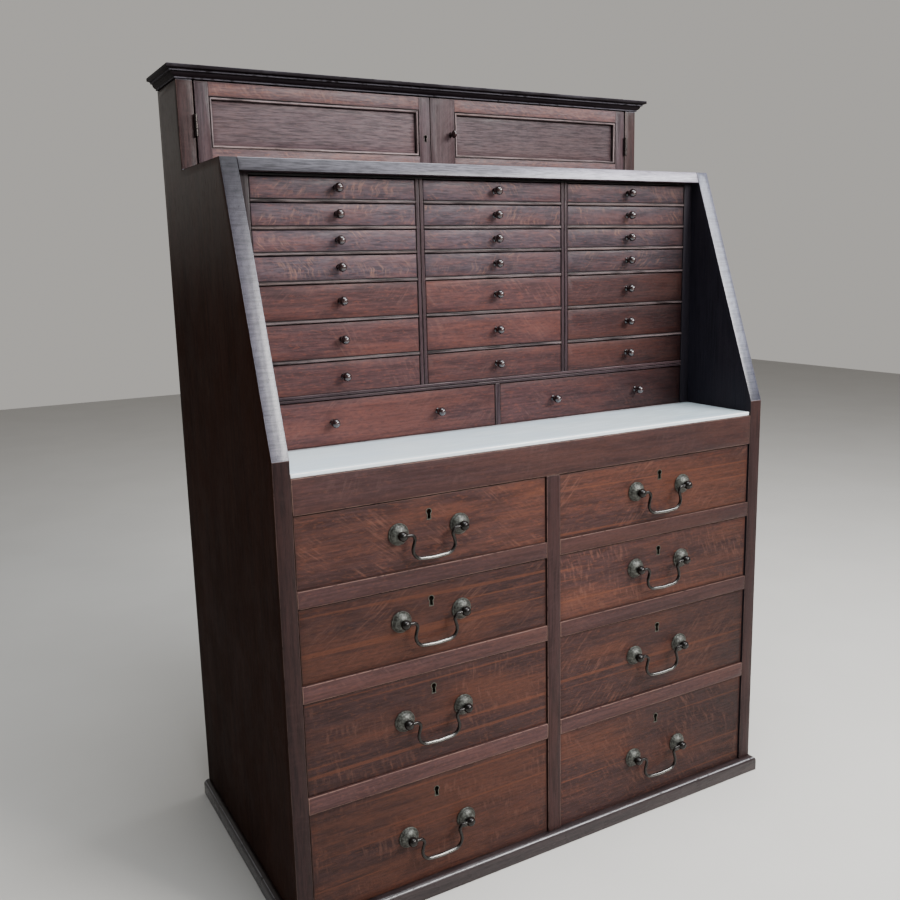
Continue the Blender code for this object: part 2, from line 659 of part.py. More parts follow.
def add_hinge(side, sign):
    """Add a butt hinge: a leaf with two knuckles and the pin, and a leaf with the middle knuckle."""
    knuckle = (HINGE_HEIGHT - 2 * SEAT_GAP) / 3
    step = knuckle + SEAT_GAP
    low_z, high_z = DOOR_MIDDLE - HINGE_HEIGHT / 2, DOOR_MIDDLE + HINGE_HEIGHT / 2
    axis = (sign * HINGE_AXIS_X, HINGE_AXIS_Y, DOOR_MIDDLE)
    leaf_back = CUPBOARD_FRONT + HINGE_LEAF_DEPTH
    tabs = {"case": (-step, step), "door": (0.0,)}
    for leaf, way in (("case", sign), ("door", -sign)):
        name = f"hinge_{leaf}_{side}"
        near = axis[0] + way * HINGE_LEAF_GAP / 2
        far = near + way * HINGE_LEAF_THICKNESS
        left, right = min(near, far), max(near, far)
        part = board(name, (left, CUPBOARD_FRONT, low_z), (right, leaf_back, high_z), AGED_BRASS, axis)
        for index, rise in enumerate(tabs[leaf]):
            middle = DOOR_MIDDLE + rise
            low = (left, HINGE_AXIS_Y, middle - knuckle / 2)
            high = (right, CUPBOARD_FRONT + CUT_MARGIN, middle + knuckle / 2)
            join(part, block(f"{name}_tab_{index}", low, high))
            centre = (axis[0], axis[1], middle)
            join(part, rod(f"{name}_knuckle_{index}", KNUCKLE_RADIUS, knuckle, "Z", HINGE_STEPS, centre))
        if leaf == "case":
            join(part, rod(name + "_pin", PIN_RADIUS, 2 * step, "Z", BORE_STEPS, axis))
        else:
            cut(part, rod(name + "_bore", PIN_RADIUS + BORE_GAP, HINGE_HEIGHT, "Z", BORE_STEPS, axis))


def oval_knob():
    """Return the door's knob: a turned knob whose head is narrowed to an upright oval."""
    mesh = turned_mesh("door_knob", knob_profile(DOOR_KNOB_RADIUS, DOOR_KNOB_HEIGHT), KNOB_STEPS)
    for vert in mesh.vertices:
        if vert.co.y < -SEAT_GAP:
            vert.co.x *= DOOR_KNOB_OVAL
    return mesh


def add_cupboard():
    """Add the cornice, the doors, their hinges, the door knob and the keyhole."""
    cove_width = CORNICE_REACH - CORNICE_BAND_STEP - CORNICE_LIP
    cove_height = CORNICE_HEIGHT - CORNICE_BAND_HEIGHT - CORNICE_LIP_HEIGHT
    sections = [(CORNICE_LIP, 0.0)]
    for step in range(CORNICE_COVE_STEPS + 1):
        angle = math.pi / 2 * step / CORNICE_COVE_STEPS
        reach = CORNICE_LIP + cove_width * (1.0 - math.cos(angle))
        sections.append((reach, CORNICE_LIP_HEIGHT + cove_height * math.sin(angle)))
    sections.append((CORNICE_REACH, CORNICE_HEIGHT - CORNICE_BAND_HEIGHT))
    sections.append((CORNICE_REACH, CORNICE_HEIGHT))
    moulded_board("cornice", CUPBOARD_FRONT, CORNICE_BOTTOM, sections, DARK_OAK)
    gap = DOOR_MEETING_GAP / 2
    left_axis = (-HINGE_AXIS_X, HINGE_AXIS_Y, DOOR_MIDDLE)
    right_axis = (HINGE_AXIS_X, HINGE_AXIS_Y, DOOR_MIDDLE)
    left_edge, right_edge = DOOR_MEETING_X - gap, DOOR_MEETING_X + gap
    left = add_door("door_left", -DOOR_HALF, left_edge, DOOR_STILE, LEFT_MEETING_STILE, left_axis)
    right = add_door("door_right", right_edge, DOOR_HALF, RIGHT_MEETING_STILE, DOOR_STILE, right_axis)
    key_x = DOOR_MEETING_X - DOOR_KEYHOLE_INSET
    keyhole(left, key_x, CUPBOARD_FRONT, DOOR_MIDDLE, DOOR_KEYHOLE_SHARE)
    knob_place = (DOOR_MEETING_X + DOOR_KNOB_INSET, CUPBOARD_FRONT, DOOR_MIDDLE + DOOR_KNOB_RISE)
    add_part("door_knob", oval_knob(), EBONISED_WOOD, knob_place)
    hole_radius = KNOB_SHANK_RADIUS + BORE_GAP
    hole_length = 2 * (KNOB_SHANK_LENGTH + BORE_GAP)
    cut(right, rod("door_knob_hole", hole_radius, hole_length, "Y", KNOB_STEPS, knob_place))
    add_hinge("left", -1.0)
    add_hinge("right", 1.0)


add_case()
add_chest_frame()
add_big_drawers()
add_nest()
add_cupboard()
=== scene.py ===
"""Dressed dental cabinet: oak boards, turned knobs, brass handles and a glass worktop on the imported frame.

Units are metres. X runs to the right, the front looks along -Y and Z points up.
"""

import logging
import math
import random
from collections.abc import Callable, Iterator, Mapping, Sequence
from dataclasses import dataclass, field
from enum import Enum
from functools import partial

import bmesh
import bpy
from mathutils import Matrix, Vector

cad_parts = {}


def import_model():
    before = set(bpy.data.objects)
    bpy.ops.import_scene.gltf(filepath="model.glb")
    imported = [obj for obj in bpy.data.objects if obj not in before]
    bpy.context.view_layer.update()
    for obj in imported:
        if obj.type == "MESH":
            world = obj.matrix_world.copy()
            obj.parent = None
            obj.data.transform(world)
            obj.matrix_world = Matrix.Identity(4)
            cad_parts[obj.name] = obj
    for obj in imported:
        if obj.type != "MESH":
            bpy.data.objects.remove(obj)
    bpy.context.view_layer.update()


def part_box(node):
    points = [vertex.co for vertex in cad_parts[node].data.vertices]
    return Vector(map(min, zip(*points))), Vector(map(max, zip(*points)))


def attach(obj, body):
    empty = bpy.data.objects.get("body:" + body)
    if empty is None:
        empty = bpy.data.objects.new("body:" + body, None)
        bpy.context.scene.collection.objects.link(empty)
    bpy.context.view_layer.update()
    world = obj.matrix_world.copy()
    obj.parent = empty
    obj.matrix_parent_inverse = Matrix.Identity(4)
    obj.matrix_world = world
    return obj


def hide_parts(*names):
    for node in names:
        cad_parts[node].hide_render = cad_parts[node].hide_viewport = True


LOG = logging.getLogger("dental_cabinet")

Colour = tuple[float, float, float]
Point = tuple[float, float, float]
Pair = tuple[float, float]
Shape = bmesh.types.BMesh
Material = bpy.types.Material

RIGHT = Vector((1.0, 0.0, 0.0))
BACKWARD = Vector((0.0, 1.0, 0.0))
UP = Vector((0.0, 0.0, 1.0))
AXES = range(3)
SEED = 1907
LOG_LENGTH = 60.0

# How boards are rounded and shaded
SHARP_ANGLE = math.radians(38.0)
BEVEL_SEGMENTS = 2
BEVEL_PROFILE = 0.5
BOARD_BEVEL = 0.0007
PRISM_BEVEL = 0.0010
EDGE_REACH = 0.012
INSET_SHARE = 0.4

# How far a normal points along an axis where its face looks that way, or only leans that way
FACING = 0.5
LEANING = 0.2

# Sizes that several sub-assemblies share
SEAT_GAP = 0.0003
SLOPE_RUN = 0.1491
NEST_ROWS = 7
NEST_COLUMNS = 3
NEST_TOP_GAP = 0.0015

# Noise, and the numbers of a Mix node's colour sockets
NOISE_MIDDLE = 0.5
NOISE_ROUGHNESS = 0.55
MIX_FIRST = 6
MIX_SECOND = 7
MIX_RESULT = 2


def clamp(value: float) -> float:
    """Return a value, or the nearer of 0 and 1 where it lies outside them."""
    return min(1.0, max(0.0, value))


# Shader maths
class Signal:
    """An output of a material's node tree that works in Python expressions."""

    def __init__(self, tree: "Tree", output: bpy.types.NodeSocket) -> None:
        """Keep an output and the tree that it belongs to."""
        self.tree = tree
        self.output = output

    def __add__(self, other: "Signal | float") -> "Signal":
        """Return this value plus another."""
        return self.tree.math("ADD", self, other)

    def __radd__(self, other: float) -> "Signal":
        """Return a number plus this value."""
        return self.tree.math("ADD", other, self)

    def __sub__(self, other: "Signal | float") -> "Signal":
        """Return this value less another."""
        return self.tree.math("SUBTRACT", self, other)

    def __rsub__(self, other: float) -> "Signal":
        """Return a number less this value."""
        return self.tree.math("SUBTRACT", other, self)

    def __mul__(self, other: "Signal | float") -> "Signal":
        """Return this value times another."""
        return self.tree.math("MULTIPLY", self, other)

    def __rmul__(self, other: float) -> "Signal":
        """Return a number times this value."""
        return self.tree.math("MULTIPLY", other, self)

    def __truediv__(self, other: "Signal | float") -> "Signal":
        """Return this value over another."""
        return self.tree.math("DIVIDE", self, other)

    def __rtruediv__(self, other: float) -> "Signal":
        """Return a number over this value."""
        return self.tree.math("DIVIDE", other, self)


class Detail(Enum):
    """How many finer layers a noise has."""

    EVEN = 0.0
    PLAIN = 1.0
    SOFT = 2.0
    FINE = 3.0
    RICH = 4.0


class Tree:
    """The node tree of one material, or of the surroundings."""

    def __init__(self, owner: Material | bpy.types.World) -> None:
        """Start an empty tree.

        Args:
            owner: The material or the surroundings that the tree belongs to.
        """
        self.owner = owner
        self.owner.use_nodes = True
        self.nodes = self.owner.node_tree.nodes
        self.links = self.owner.node_tree.links
        self.nodes.clear()

    @classmethod
    def of_material(cls, name: str) -> "Tree":
        """Return the empty tree of a new material."""
        return cls(bpy.data.materials.new(name))

    def node(self, kind: str, settings: Mapping[str, object], sockets: Mapping[str | int, object],
             output: str | int = 0) -> Signal | None:
        """Add a node.

        Args:
            kind: The node's type.
            settings: Its settings, which are set first.
            sockets: The value or the link of each of its inputs.
            output: The output to go on from.

        Returns:
            That output, or None where the node has none.
        """
        made = self.nodes.new(kind)
        for key, value in settings.items():
            setattr(made, key, value)
        for key, value in sockets.items():
            if isinstance(value, Signal):
                self.links.new(value.output, made.inputs[key])
            else:
                made.inputs[key].default_value = value
        return Signal(self, made.outputs[output]) if made.outputs else None

    def math(self, operation: str, left: Signal | float, right: Signal | float = 0.0) -> Signal:
        """Return the result of a Math node on one or two values."""
        return self.node("ShaderNodeMath", {"operation": operation}, {0: left, 1: right})

    def attribute(self, name: str, output: str) -> Signal:
        """Return a value that the mesh keeps at each of its points."""
        settings = {"attribute_type": "GEOMETRY", "attribute_name": name}
        return self.node("ShaderNodeAttribute", settings, {}, output)

    def parts(self, vector: Signal) -> tuple[Signal, Signal, Signal]:
        """Split a vector.

        Args:
            vector: The vector.

        Returns:
            Its three parts.
        """
        first = self.node("ShaderNodeSeparateXYZ", {}, {0: vector})
        outputs = first.output.node.outputs
        return first, Signal(self, outputs[1]), Signal(self, outputs[2])

    def stretch(self, vector: Signal, scale: Point) -> Signal:
        """Return a vector with each of its parts scaled."""
        return self.node("ShaderNodeVectorMath", {"operation": "MULTIPLY"}, {0: vector, 1: scale})

    def noise(self, vector: Signal, scale: Point, detail: Detail = Detail.SOFT) -> Signal:
        """Return a noise of about 0.25 to 0.75 over a stretched vector.

        Args:
            vector: The place in the material.
            scale: How many times a metre the noise changes, along each part of the vector.
            detail: How many finer layers it has.

        Returns:
            The noise.
        """
        sockets = {
            "Vector": self.stretch(vector, scale),
            "Scale": 1.0,
            "Detail": detail.value,
            "Roughness": NOISE_ROUGHNESS,
        }
        return self.node("ShaderNodeTexNoise", {"noise_dimensions": "3D"}, sockets)

    def ease(self, value: Signal, ends: Pair) -> Signal:
        """Map a value to a smooth step.

        Args:
            value: The value.
            ends: Its low end and its high end.

        Returns:
            0 at the low end, 1 at the high end and a smooth step between.
        """
        settings = {"interpolation_type": "SMOOTHSTEP", "clamp": True}
        sockets = {"Value": value, "From Min": ends[0], "From Max": ends[1]}
        return self.node("ShaderNodeMapRange", settings, sockets)

    @staticmethod
    def between(ends: Pair, share: Signal) -> Signal:
        """Return the value that lies a share of the way from one end to the other."""
        return ends[0] + (ends[1] - ends[0]) * share

    def mix(self, first: Signal | Colour, second: Signal | Colour, share: Signal) -> Signal:
        """Blend two colours.

        Args:
            first: The colour where the share is 0.
            second: The colour where the share is 1.
            share: How much of the second colour there is.

        Returns:
            The blend.
        """
        settings = {"data_type": "RGBA", "blend_type": "MIX", "clamp_factor": True}
        sockets = {0: share, MIX_FIRST: self.paint(first), MIX_SECOND: self.paint(second)}
        return self.node("ShaderNodeMix", settings, sockets, MIX_RESULT)

    def shade(self, colour: Signal, amount: Signal) -> Signal:
        """Return a colour made lighter or darker by a value."""
        return self.node("ShaderNodeVectorMath", {"operation": "SCALE"}, {"Vector": colour, "Scale": amount})

    def bump(self, height: Signal, strength: float, distance: float) -> Signal:
        """Return the normal of a surface with a fine relief."""
        sockets = {"Height": height, "Strength": strength, "Distance": distance}
        return self.node("ShaderNodeBump", {}, sockets)

    def surface(self, sockets: Mapping[str, object]) -> Material:
        """Finish the material with a Principled shader.

        Args:
            sockets: The value or the link of each of the shader's inputs.

        Returns:
            The material.
        """
        shader = self.node("ShaderNodeBsdfPrincipled", {}, sockets, "BSDF")
        self.node("ShaderNodeOutputMaterial", {}, {"Surface": shader})
        return self.owner

    @staticmethod
    def paint(colour: Signal | Colour) -> Signal | tuple[float, ...]:
        """Return a colour as a colour socket takes it."""
        return colour if isinstance(colour, Signal) else (*colour, 1.0)


# Finishes
@dataclass(frozen=True)
class Figure:
    """The oak's figure: how often each mark comes, where it grows from nothing to full, and how strong it is.

    Each scale gives changes a metre along the grain, across it and into the board.
    """

    drift: Point = (2.4, 10.0, 10.0)
    streak: Point = (7.0, 105.0, 105.0)
    thread: Point = (17.0, 290.0, 290.0)
    line: Point = (1.3, 120.0, 120.0)
    pore: Point = (75.0, 1400.0, 1400.0)
    ray: Point = (190.0, 45.0, 45.0)
    patch: Point = (14.0, 20.0, 20.0)
    fleck: Point = (110.0, 330.0, 330.0)
    scuff: Point = (120.0, 240.0, 240.0)
    early_range: Pair = (0.30, 0.95)
    pore_range: Pair = (0.54, 0.66)
    body_range: Pair = (0.36, 0.60)
    glow_range: Pair = (0.44, 0.62)
    fleck_range: Pair = (0.54, 0.68)
    ray_range: Pair = (0.48, 0.72)
    patch_range: Pair = (0.42, 0.66)
    line_range: Pair = (0.70, 0.76)
    wax_range: Pair = (0.40, 0.62)
    scuff_range: Pair = (0.30, 0.46)
    dull_range: Pair = (0.35, 0.65)
    ring_width: float = 0.0060
    ring_sway: float = 0.030
    ray_lean: float = 2.6
    ray_bend: float = 0.030
    thread_share: float = 0.65
    drift_share: float = 0.7
    late_pores: float = 0.35
    thin_wax: float = 0.5
    pore_dullness: float = 0.15
    pore_break: float = 0.5
    thread_height: float = 0.4
    early_depth: float = 0.25
    relief_depth: float = 0.0006


@dataclass(frozen=True)
class OakFinish:
    """Stained and waxed oak, with rings, pores, rays, worn edges, old wax and painted shade darkening its
    edges, and painted light over it.
    """

    name: str
    deep: Colour
    body: Colour
    warm: Colour
    pale: Colour
    worn: Colour
    warm_share: float = 0.5
    fleck_share: float = 0.3
    ray_share: float = 0.4
    ring_share: float = 0.15
    line_share: float = 0.0
    pore_share: float = 0.5
    wear: float = 0.6
    wear_reach: float = 0.0012
    # How strongly, and how far from each edge, dirt and painted shade darken the wood
    edge_dirt_and_shade: float = 0.5
    dirt_and_shade_reach: float = 0.0050
    tone_range: Pair = (0.86, 1.14)
    gloss: Pair = (0.38, 0.52)
    specular: float = 0.16
    coat: float = 0.04
    coat_light_range: Pair | None = None
    coat_roughness: float = 0.28
    relief: float = 0.30
    figure: Figure = field(default_factory=Figure)

    def build(self) -> Material:
        """Build the oak.

        Returns:
            The material.
        """
        tree = Tree.of_material(self.name)
        figure = self.figure
        grain = tree.attribute("grain", "Vector")
        edge = tree.attribute("edge", "Fac")
        tone = tree.attribute("tone", "Fac")
        age = tree.attribute("age", "Fac")
        along, across, into = tree.parts(grain)
        drift = tree.noise(grain, figure.drift)
        streak = tree.noise(grain, figure.streak, Detail.FINE)
        thread = tree.noise(grain, figure.thread)
        patch = tree.noise(grain, figure.patch, Detail.FINE)
        scuff = tree.noise(grain, figure.scuff)
        radius = tree.math("SQRT", across * across + into * into)
        ring = tree.math("FRACT", (radius + drift * figure.ring_sway) / figure.ring_width)
        early = tree.ease(ring, figure.early_range)
        pore = tree.ease(tree.noise(grain, figure.pore, Detail.PLAIN), figure.pore_range)
        pore = pore * tree.between((figure.late_pores, 1.0), early)
        weave = streak * (1.0 - figure.thread_share) + thread * figure.thread_share
        colour = tree.mix(self.deep, self.body, tree.ease(weave, figure.body_range))
        glow = drift * figure.drift_share + streak * (1.0 - figure.drift_share)
        colour = tree.mix(colour, self.warm, tree.ease(glow, figure.glow_range) * self.warm_share)
        fleck = tree.noise(grain, figure.fleck)
        for mark, stain in ((fleck, self.warm), (1.0 - fleck, self.deep)):
            colour = tree.mix(colour, stain, tree.ease(mark, figure.fleck_range) * self.fleck_share)
        colour = tree.mix(colour, self.deep, early * self.ring_share)
        lean = (tone - NOISE_MIDDLE) * figure.ray_lean
        bend = (drift - NOISE_MIDDLE) * figure.ray_bend
        leaned = tree.node("ShaderNodeCombineXYZ", {}, {0: along + across * lean + bend, 1: across, 2: into})
        ray = tree.ease(tree.noise(leaned, figure.ray), figure.ray_range)
        ray = ray * tree.ease(patch, figure.patch_range)
        colour = tree.mix(colour, self.pale, ray * self.ray_share)
        if self.line_share:
            line = tree.ease(tree.noise(grain, figure.line, Detail.EVEN), figure.line_range)
            colour = tree.mix(colour, self.warm, line * self.line_share)
        colour = tree.mix(colour, self.deep, pore * self.pore_share)
        # Old wax and dirt, with painted shade: darker within a few millimetres of each edge, in patches,
        # where gaps and corners lie in shade
        wax = tree.between((figure.thin_wax, 1.0), tree.ease(patch, figure.wax_range))
        dirt_and_shade_mask = (1.0 - tree.ease(edge, (0.0, self.dirt_and_shade_reach))) * wax
        colour = tree.mix(colour, self.deep, dirt_and_shade_mask * self.edge_dirt_and_shade)
        if self.wear:
            rub = edge + (patch - NOISE_MIDDLE) * self.wear_reach
            rubbed = (1.0 - tree.ease(rub, (0.0, self.wear_reach))) * tree.ease(scuff, figure.scuff_range)
            colour = tree.mix(colour, self.worn, rubbed * self.wear)
        # Painted light: the colour is darkened by the point's painted light as well as by the board's random
        # tone
        light = tree.between(self.tone_range, tone) * tree.math("MINIMUM", age, 1.0)
        # Some finishes lay their coat only where the painted light is high
        coat = self.coat
        if self.coat_light_range:
            coat = tree.ease(age, self.coat_light_range) * (1.0 - pore * figure.pore_break) * self.coat
        dull = tree.between(self.gloss, tree.ease(patch, figure.dull_range))
        height = thread * figure.thread_height - pore - early * figure.early_depth
        return tree.surface({
            "Base Color": tree.shade(colour, light),
            "Roughness": dull + pore * figure.pore_dullness,
            "Specular IOR Level": self.specular,
            "Coat Weight": coat,
            "Coat Roughness": self.coat_roughness,
            "Normal": tree.bump(height, self.relief, figure.relief_depth),
        })


@dataclass(frozen=True)
class BrassFinish:
    """Cast brass with a dark green skin that is rubbed bright where hands reach."""

    name: str
    bright: Colour = (0.56, 0.52, 0.46)
    dull: Colour = (0.050, 0.046, 0.038)
    skin: Colour = (0.120, 0.135, 0.110)
    cloud: Point = (150.0, 150.0, 150.0)
    grit: Point = (900.0, 900.0, 900.0)
    grit_share: float = 0.25
    mottle: float = 0.005
    gloss: Pair = (0.22, 0.50)
    metal: float = 0.55
    skin_range: Pair = (0.40, 0.62)
    rub_range: Pair = (0.0005, 0.0045)
    grit_height: float = 0.5
    relief_depth: float = 0.0004

    def build(self) -> Material:
        """Build the brass.

        Returns:
            The material.
        """
        tree = Tree.of_material(self.name)
        place = tree.attribute("grain", "Vector")
        edge = tree.attribute("edge", "Fac")
        cloud = tree.noise(place, self.cloud, Detail.RICH)
        grit = tree.noise(place, self.grit)
        rubbed = 1.0 - tree.ease(edge + (cloud - NOISE_MIDDLE) * self.mottle, self.rub_range)
        colour = tree.mix(self.dull, self.skin, tree.ease(cloud, self.skin_range))
        smooth, rough = self.gloss
        return tree.surface({
            "Base Color": tree.mix(colour, self.bright, rubbed),
            "Roughness": tree.between((rough, smooth), rubbed) + (grit - NOISE_MIDDLE) * self.grit_share,
            "Metallic": tree.between((self.metal, 1.0), rubbed),
            "Normal": tree.bump(grit * self.grit_height + cloud, self.grit_share, self.relief_depth),
        })


@dataclass(frozen=True)
class GlassFinish:
    """Opal glass with faint clouds, smears, a grey line of dirt at its edges, a painted highlight along its
    edge and painted shade over it.
    """

    name: str
    milk: Colour = (0.83, 0.95, 1.00)
    cool: Colour = (0.77, 0.91, 1.00)
    dirt: Colour = (0.30, 0.28, 0.25)
    arris_highlight: Colour = (0.97, 0.98, 0.99)
    cloud: Point = (7.0, 11.0, 11.0)
    smear: Point = (18.0, 90.0, 90.0)
    gloss: Pair = (0.10, 0.26)
    cloud_range: Pair = (0.35, 0.60)
    smear_range: Pair = (0.50, 0.68)
    smear_share: float = 0.08
    dirt_range: Pair = (0.0025, 0.009)
    dirt_share: float = 0.10
    arris_highlight_range: Pair = (0.0012, 0.0026)
    gloss_range: Pair = (0.40, 0.65)
    coat: float = 0.3
    coat_roughness: float = 0.06
    relief: float = 0.05
    relief_depth: float = 0.0010

    def build(self) -> Material:
        """Build the glass.

        Returns:
            The material.
        """
        tree = Tree.of_material(self.name)
        place = tree.attribute("grain", "Vector")
        edge = tree.attribute("edge", "Fac")
        cloud = tree.noise(place, self.cloud, Detail.FINE)
        smear = tree.noise(place, self.smear, Detail.FINE)
        colour = tree.mix(self.cool, self.milk, tree.ease(cloud, self.cloud_range))
        dirt = (1.0 - tree.ease(edge, self.dirt_range)) * self.dirt_share
        film = tree.ease(smear, self.smear_range) * self.smear_share + dirt
        colour = tree.mix(colour, self.dirt, film)
        # Painted shade from the slab's painted light
        colour = tree.shade(colour, tree.attribute("age", "Fac"))
        # Painted highlight: the glass turns near white along its edge
        return tree.surface({
            "Base Color": tree.mix(colour, self.arris_highlight, 1.0 - tree.ease(edge, self.arris_highlight_range)),
            "Roughness": tree.between(self.gloss, tree.ease(smear, self.gloss_range)),
            "Coat Weight": self.coat,
            "Coat Roughness": self.coat_roughness,
            "Normal": tree.bump(cloud, self.relief, self.relief_depth),
        })


@dataclass(frozen=True)
class EbonyFinish:
    """Turned wood, stained black and polished, with a brown rub on its crown."""

    name: str
    black: Colour = (0.012, 0.006, 0.006)
    brown: Colour = (0.060, 0.030, 0.028)
    turning: Point = (300.0, 300.0, 1600.0)
    gloss: Pair = (0.12, 0.22)
    crown_range: Pair = (0.0, 0.004)
    rub_range: Pair = (0.40, 0.60)
    gloss_range: Pair = (0.35, 0.65)
    coat: float = 0.7
    coat_roughness: float = 0.10
    relief: float = 0.10
    relief_depth: float = 0.0003

    def build(self) -> Material:
        """Build the turned wood.

        Returns:
            The material.
        """
        tree = Tree.of_material(self.name)
        place = tree.attribute("grain", "Vector")
        edge = tree.attribute("edge", "Fac")
        line = tree.noise(place, self.turning)
        crown = (1.0 - tree.ease(edge, self.crown_range)) * tree.ease(line, self.rub_range)
        return tree.surface({
            "Base Color": tree.mix(self.black, self.brown, crown),
            "Roughness": tree.between(self.gloss, tree.ease(line, self.gloss_range)),
            "Coat Weight": self.coat,
            "Coat Roughness": self.coat_roughness,
            "Normal": tree.bump(line, self.relief, self.relief_depth),
        })


@dataclass(frozen=True)
class FloorFinish:
    """A plain pale floor with a barely mottled surface."""

    name: str
    pale: Colour = (0.68, 0.655, 0.615)
    shade: Colour = (0.66, 0.635, 0.595)
    mottle: Point = (3.0, 3.0, 3.0)
    mottle_range: Pair = (0.35, 0.65)
    roughness: float = 0.75

    def build(self) -> Material:
        """Build the floor's surface.

        Returns:
            The material.
        """
        tree = Tree.of_material(self.name)
        place = tree.node("ShaderNodeTexCoord", {}, {}, "Object")
        mottle = tree.ease(tree.noise(place, self.mottle, Detail.FINE), self.mottle_range)
        colour = tree.mix(self.pale, self.shade, mottle)
        return tree.surface({"Base Color": colour, "Roughness": self.roughness})


# The painted light's whole range, over which a coat grows in
FULL_LIGHT_RANGE = (0.0, 1.0)
RUBBED_BROWN = (0.260, 0.160, 0.130)
RUBBED_GREY = (0.300, 0.235, 0.225)
# Worn colour in the lilac of the slopes' painted sheen
RUBBED_SHEEN_LILAC = (0.340, 0.320, 0.360)
CROSS_FIGURE = Figure(streak=(130.0, 14.0, 20.0), thread=(400.0, 20.0, 28.0))
PANEL_FIGURE = Figure(streak=(24.0, 280.0, 280.0), thread=(40.0, 560.0, 560.0))
FLECK_FIGURE = Figure(drift=(8.0, 36.0, 36.0), streak=(16.0, 120.0, 120.0), thread=(45.0, 330.0, 330.0),
                      ray=(220.0, 58.0, 58.0))
BROAD_FIGURE = Figure(streak=(9.0, 95.0, 95.0), thread=(30.0, 340.0, 340.0))


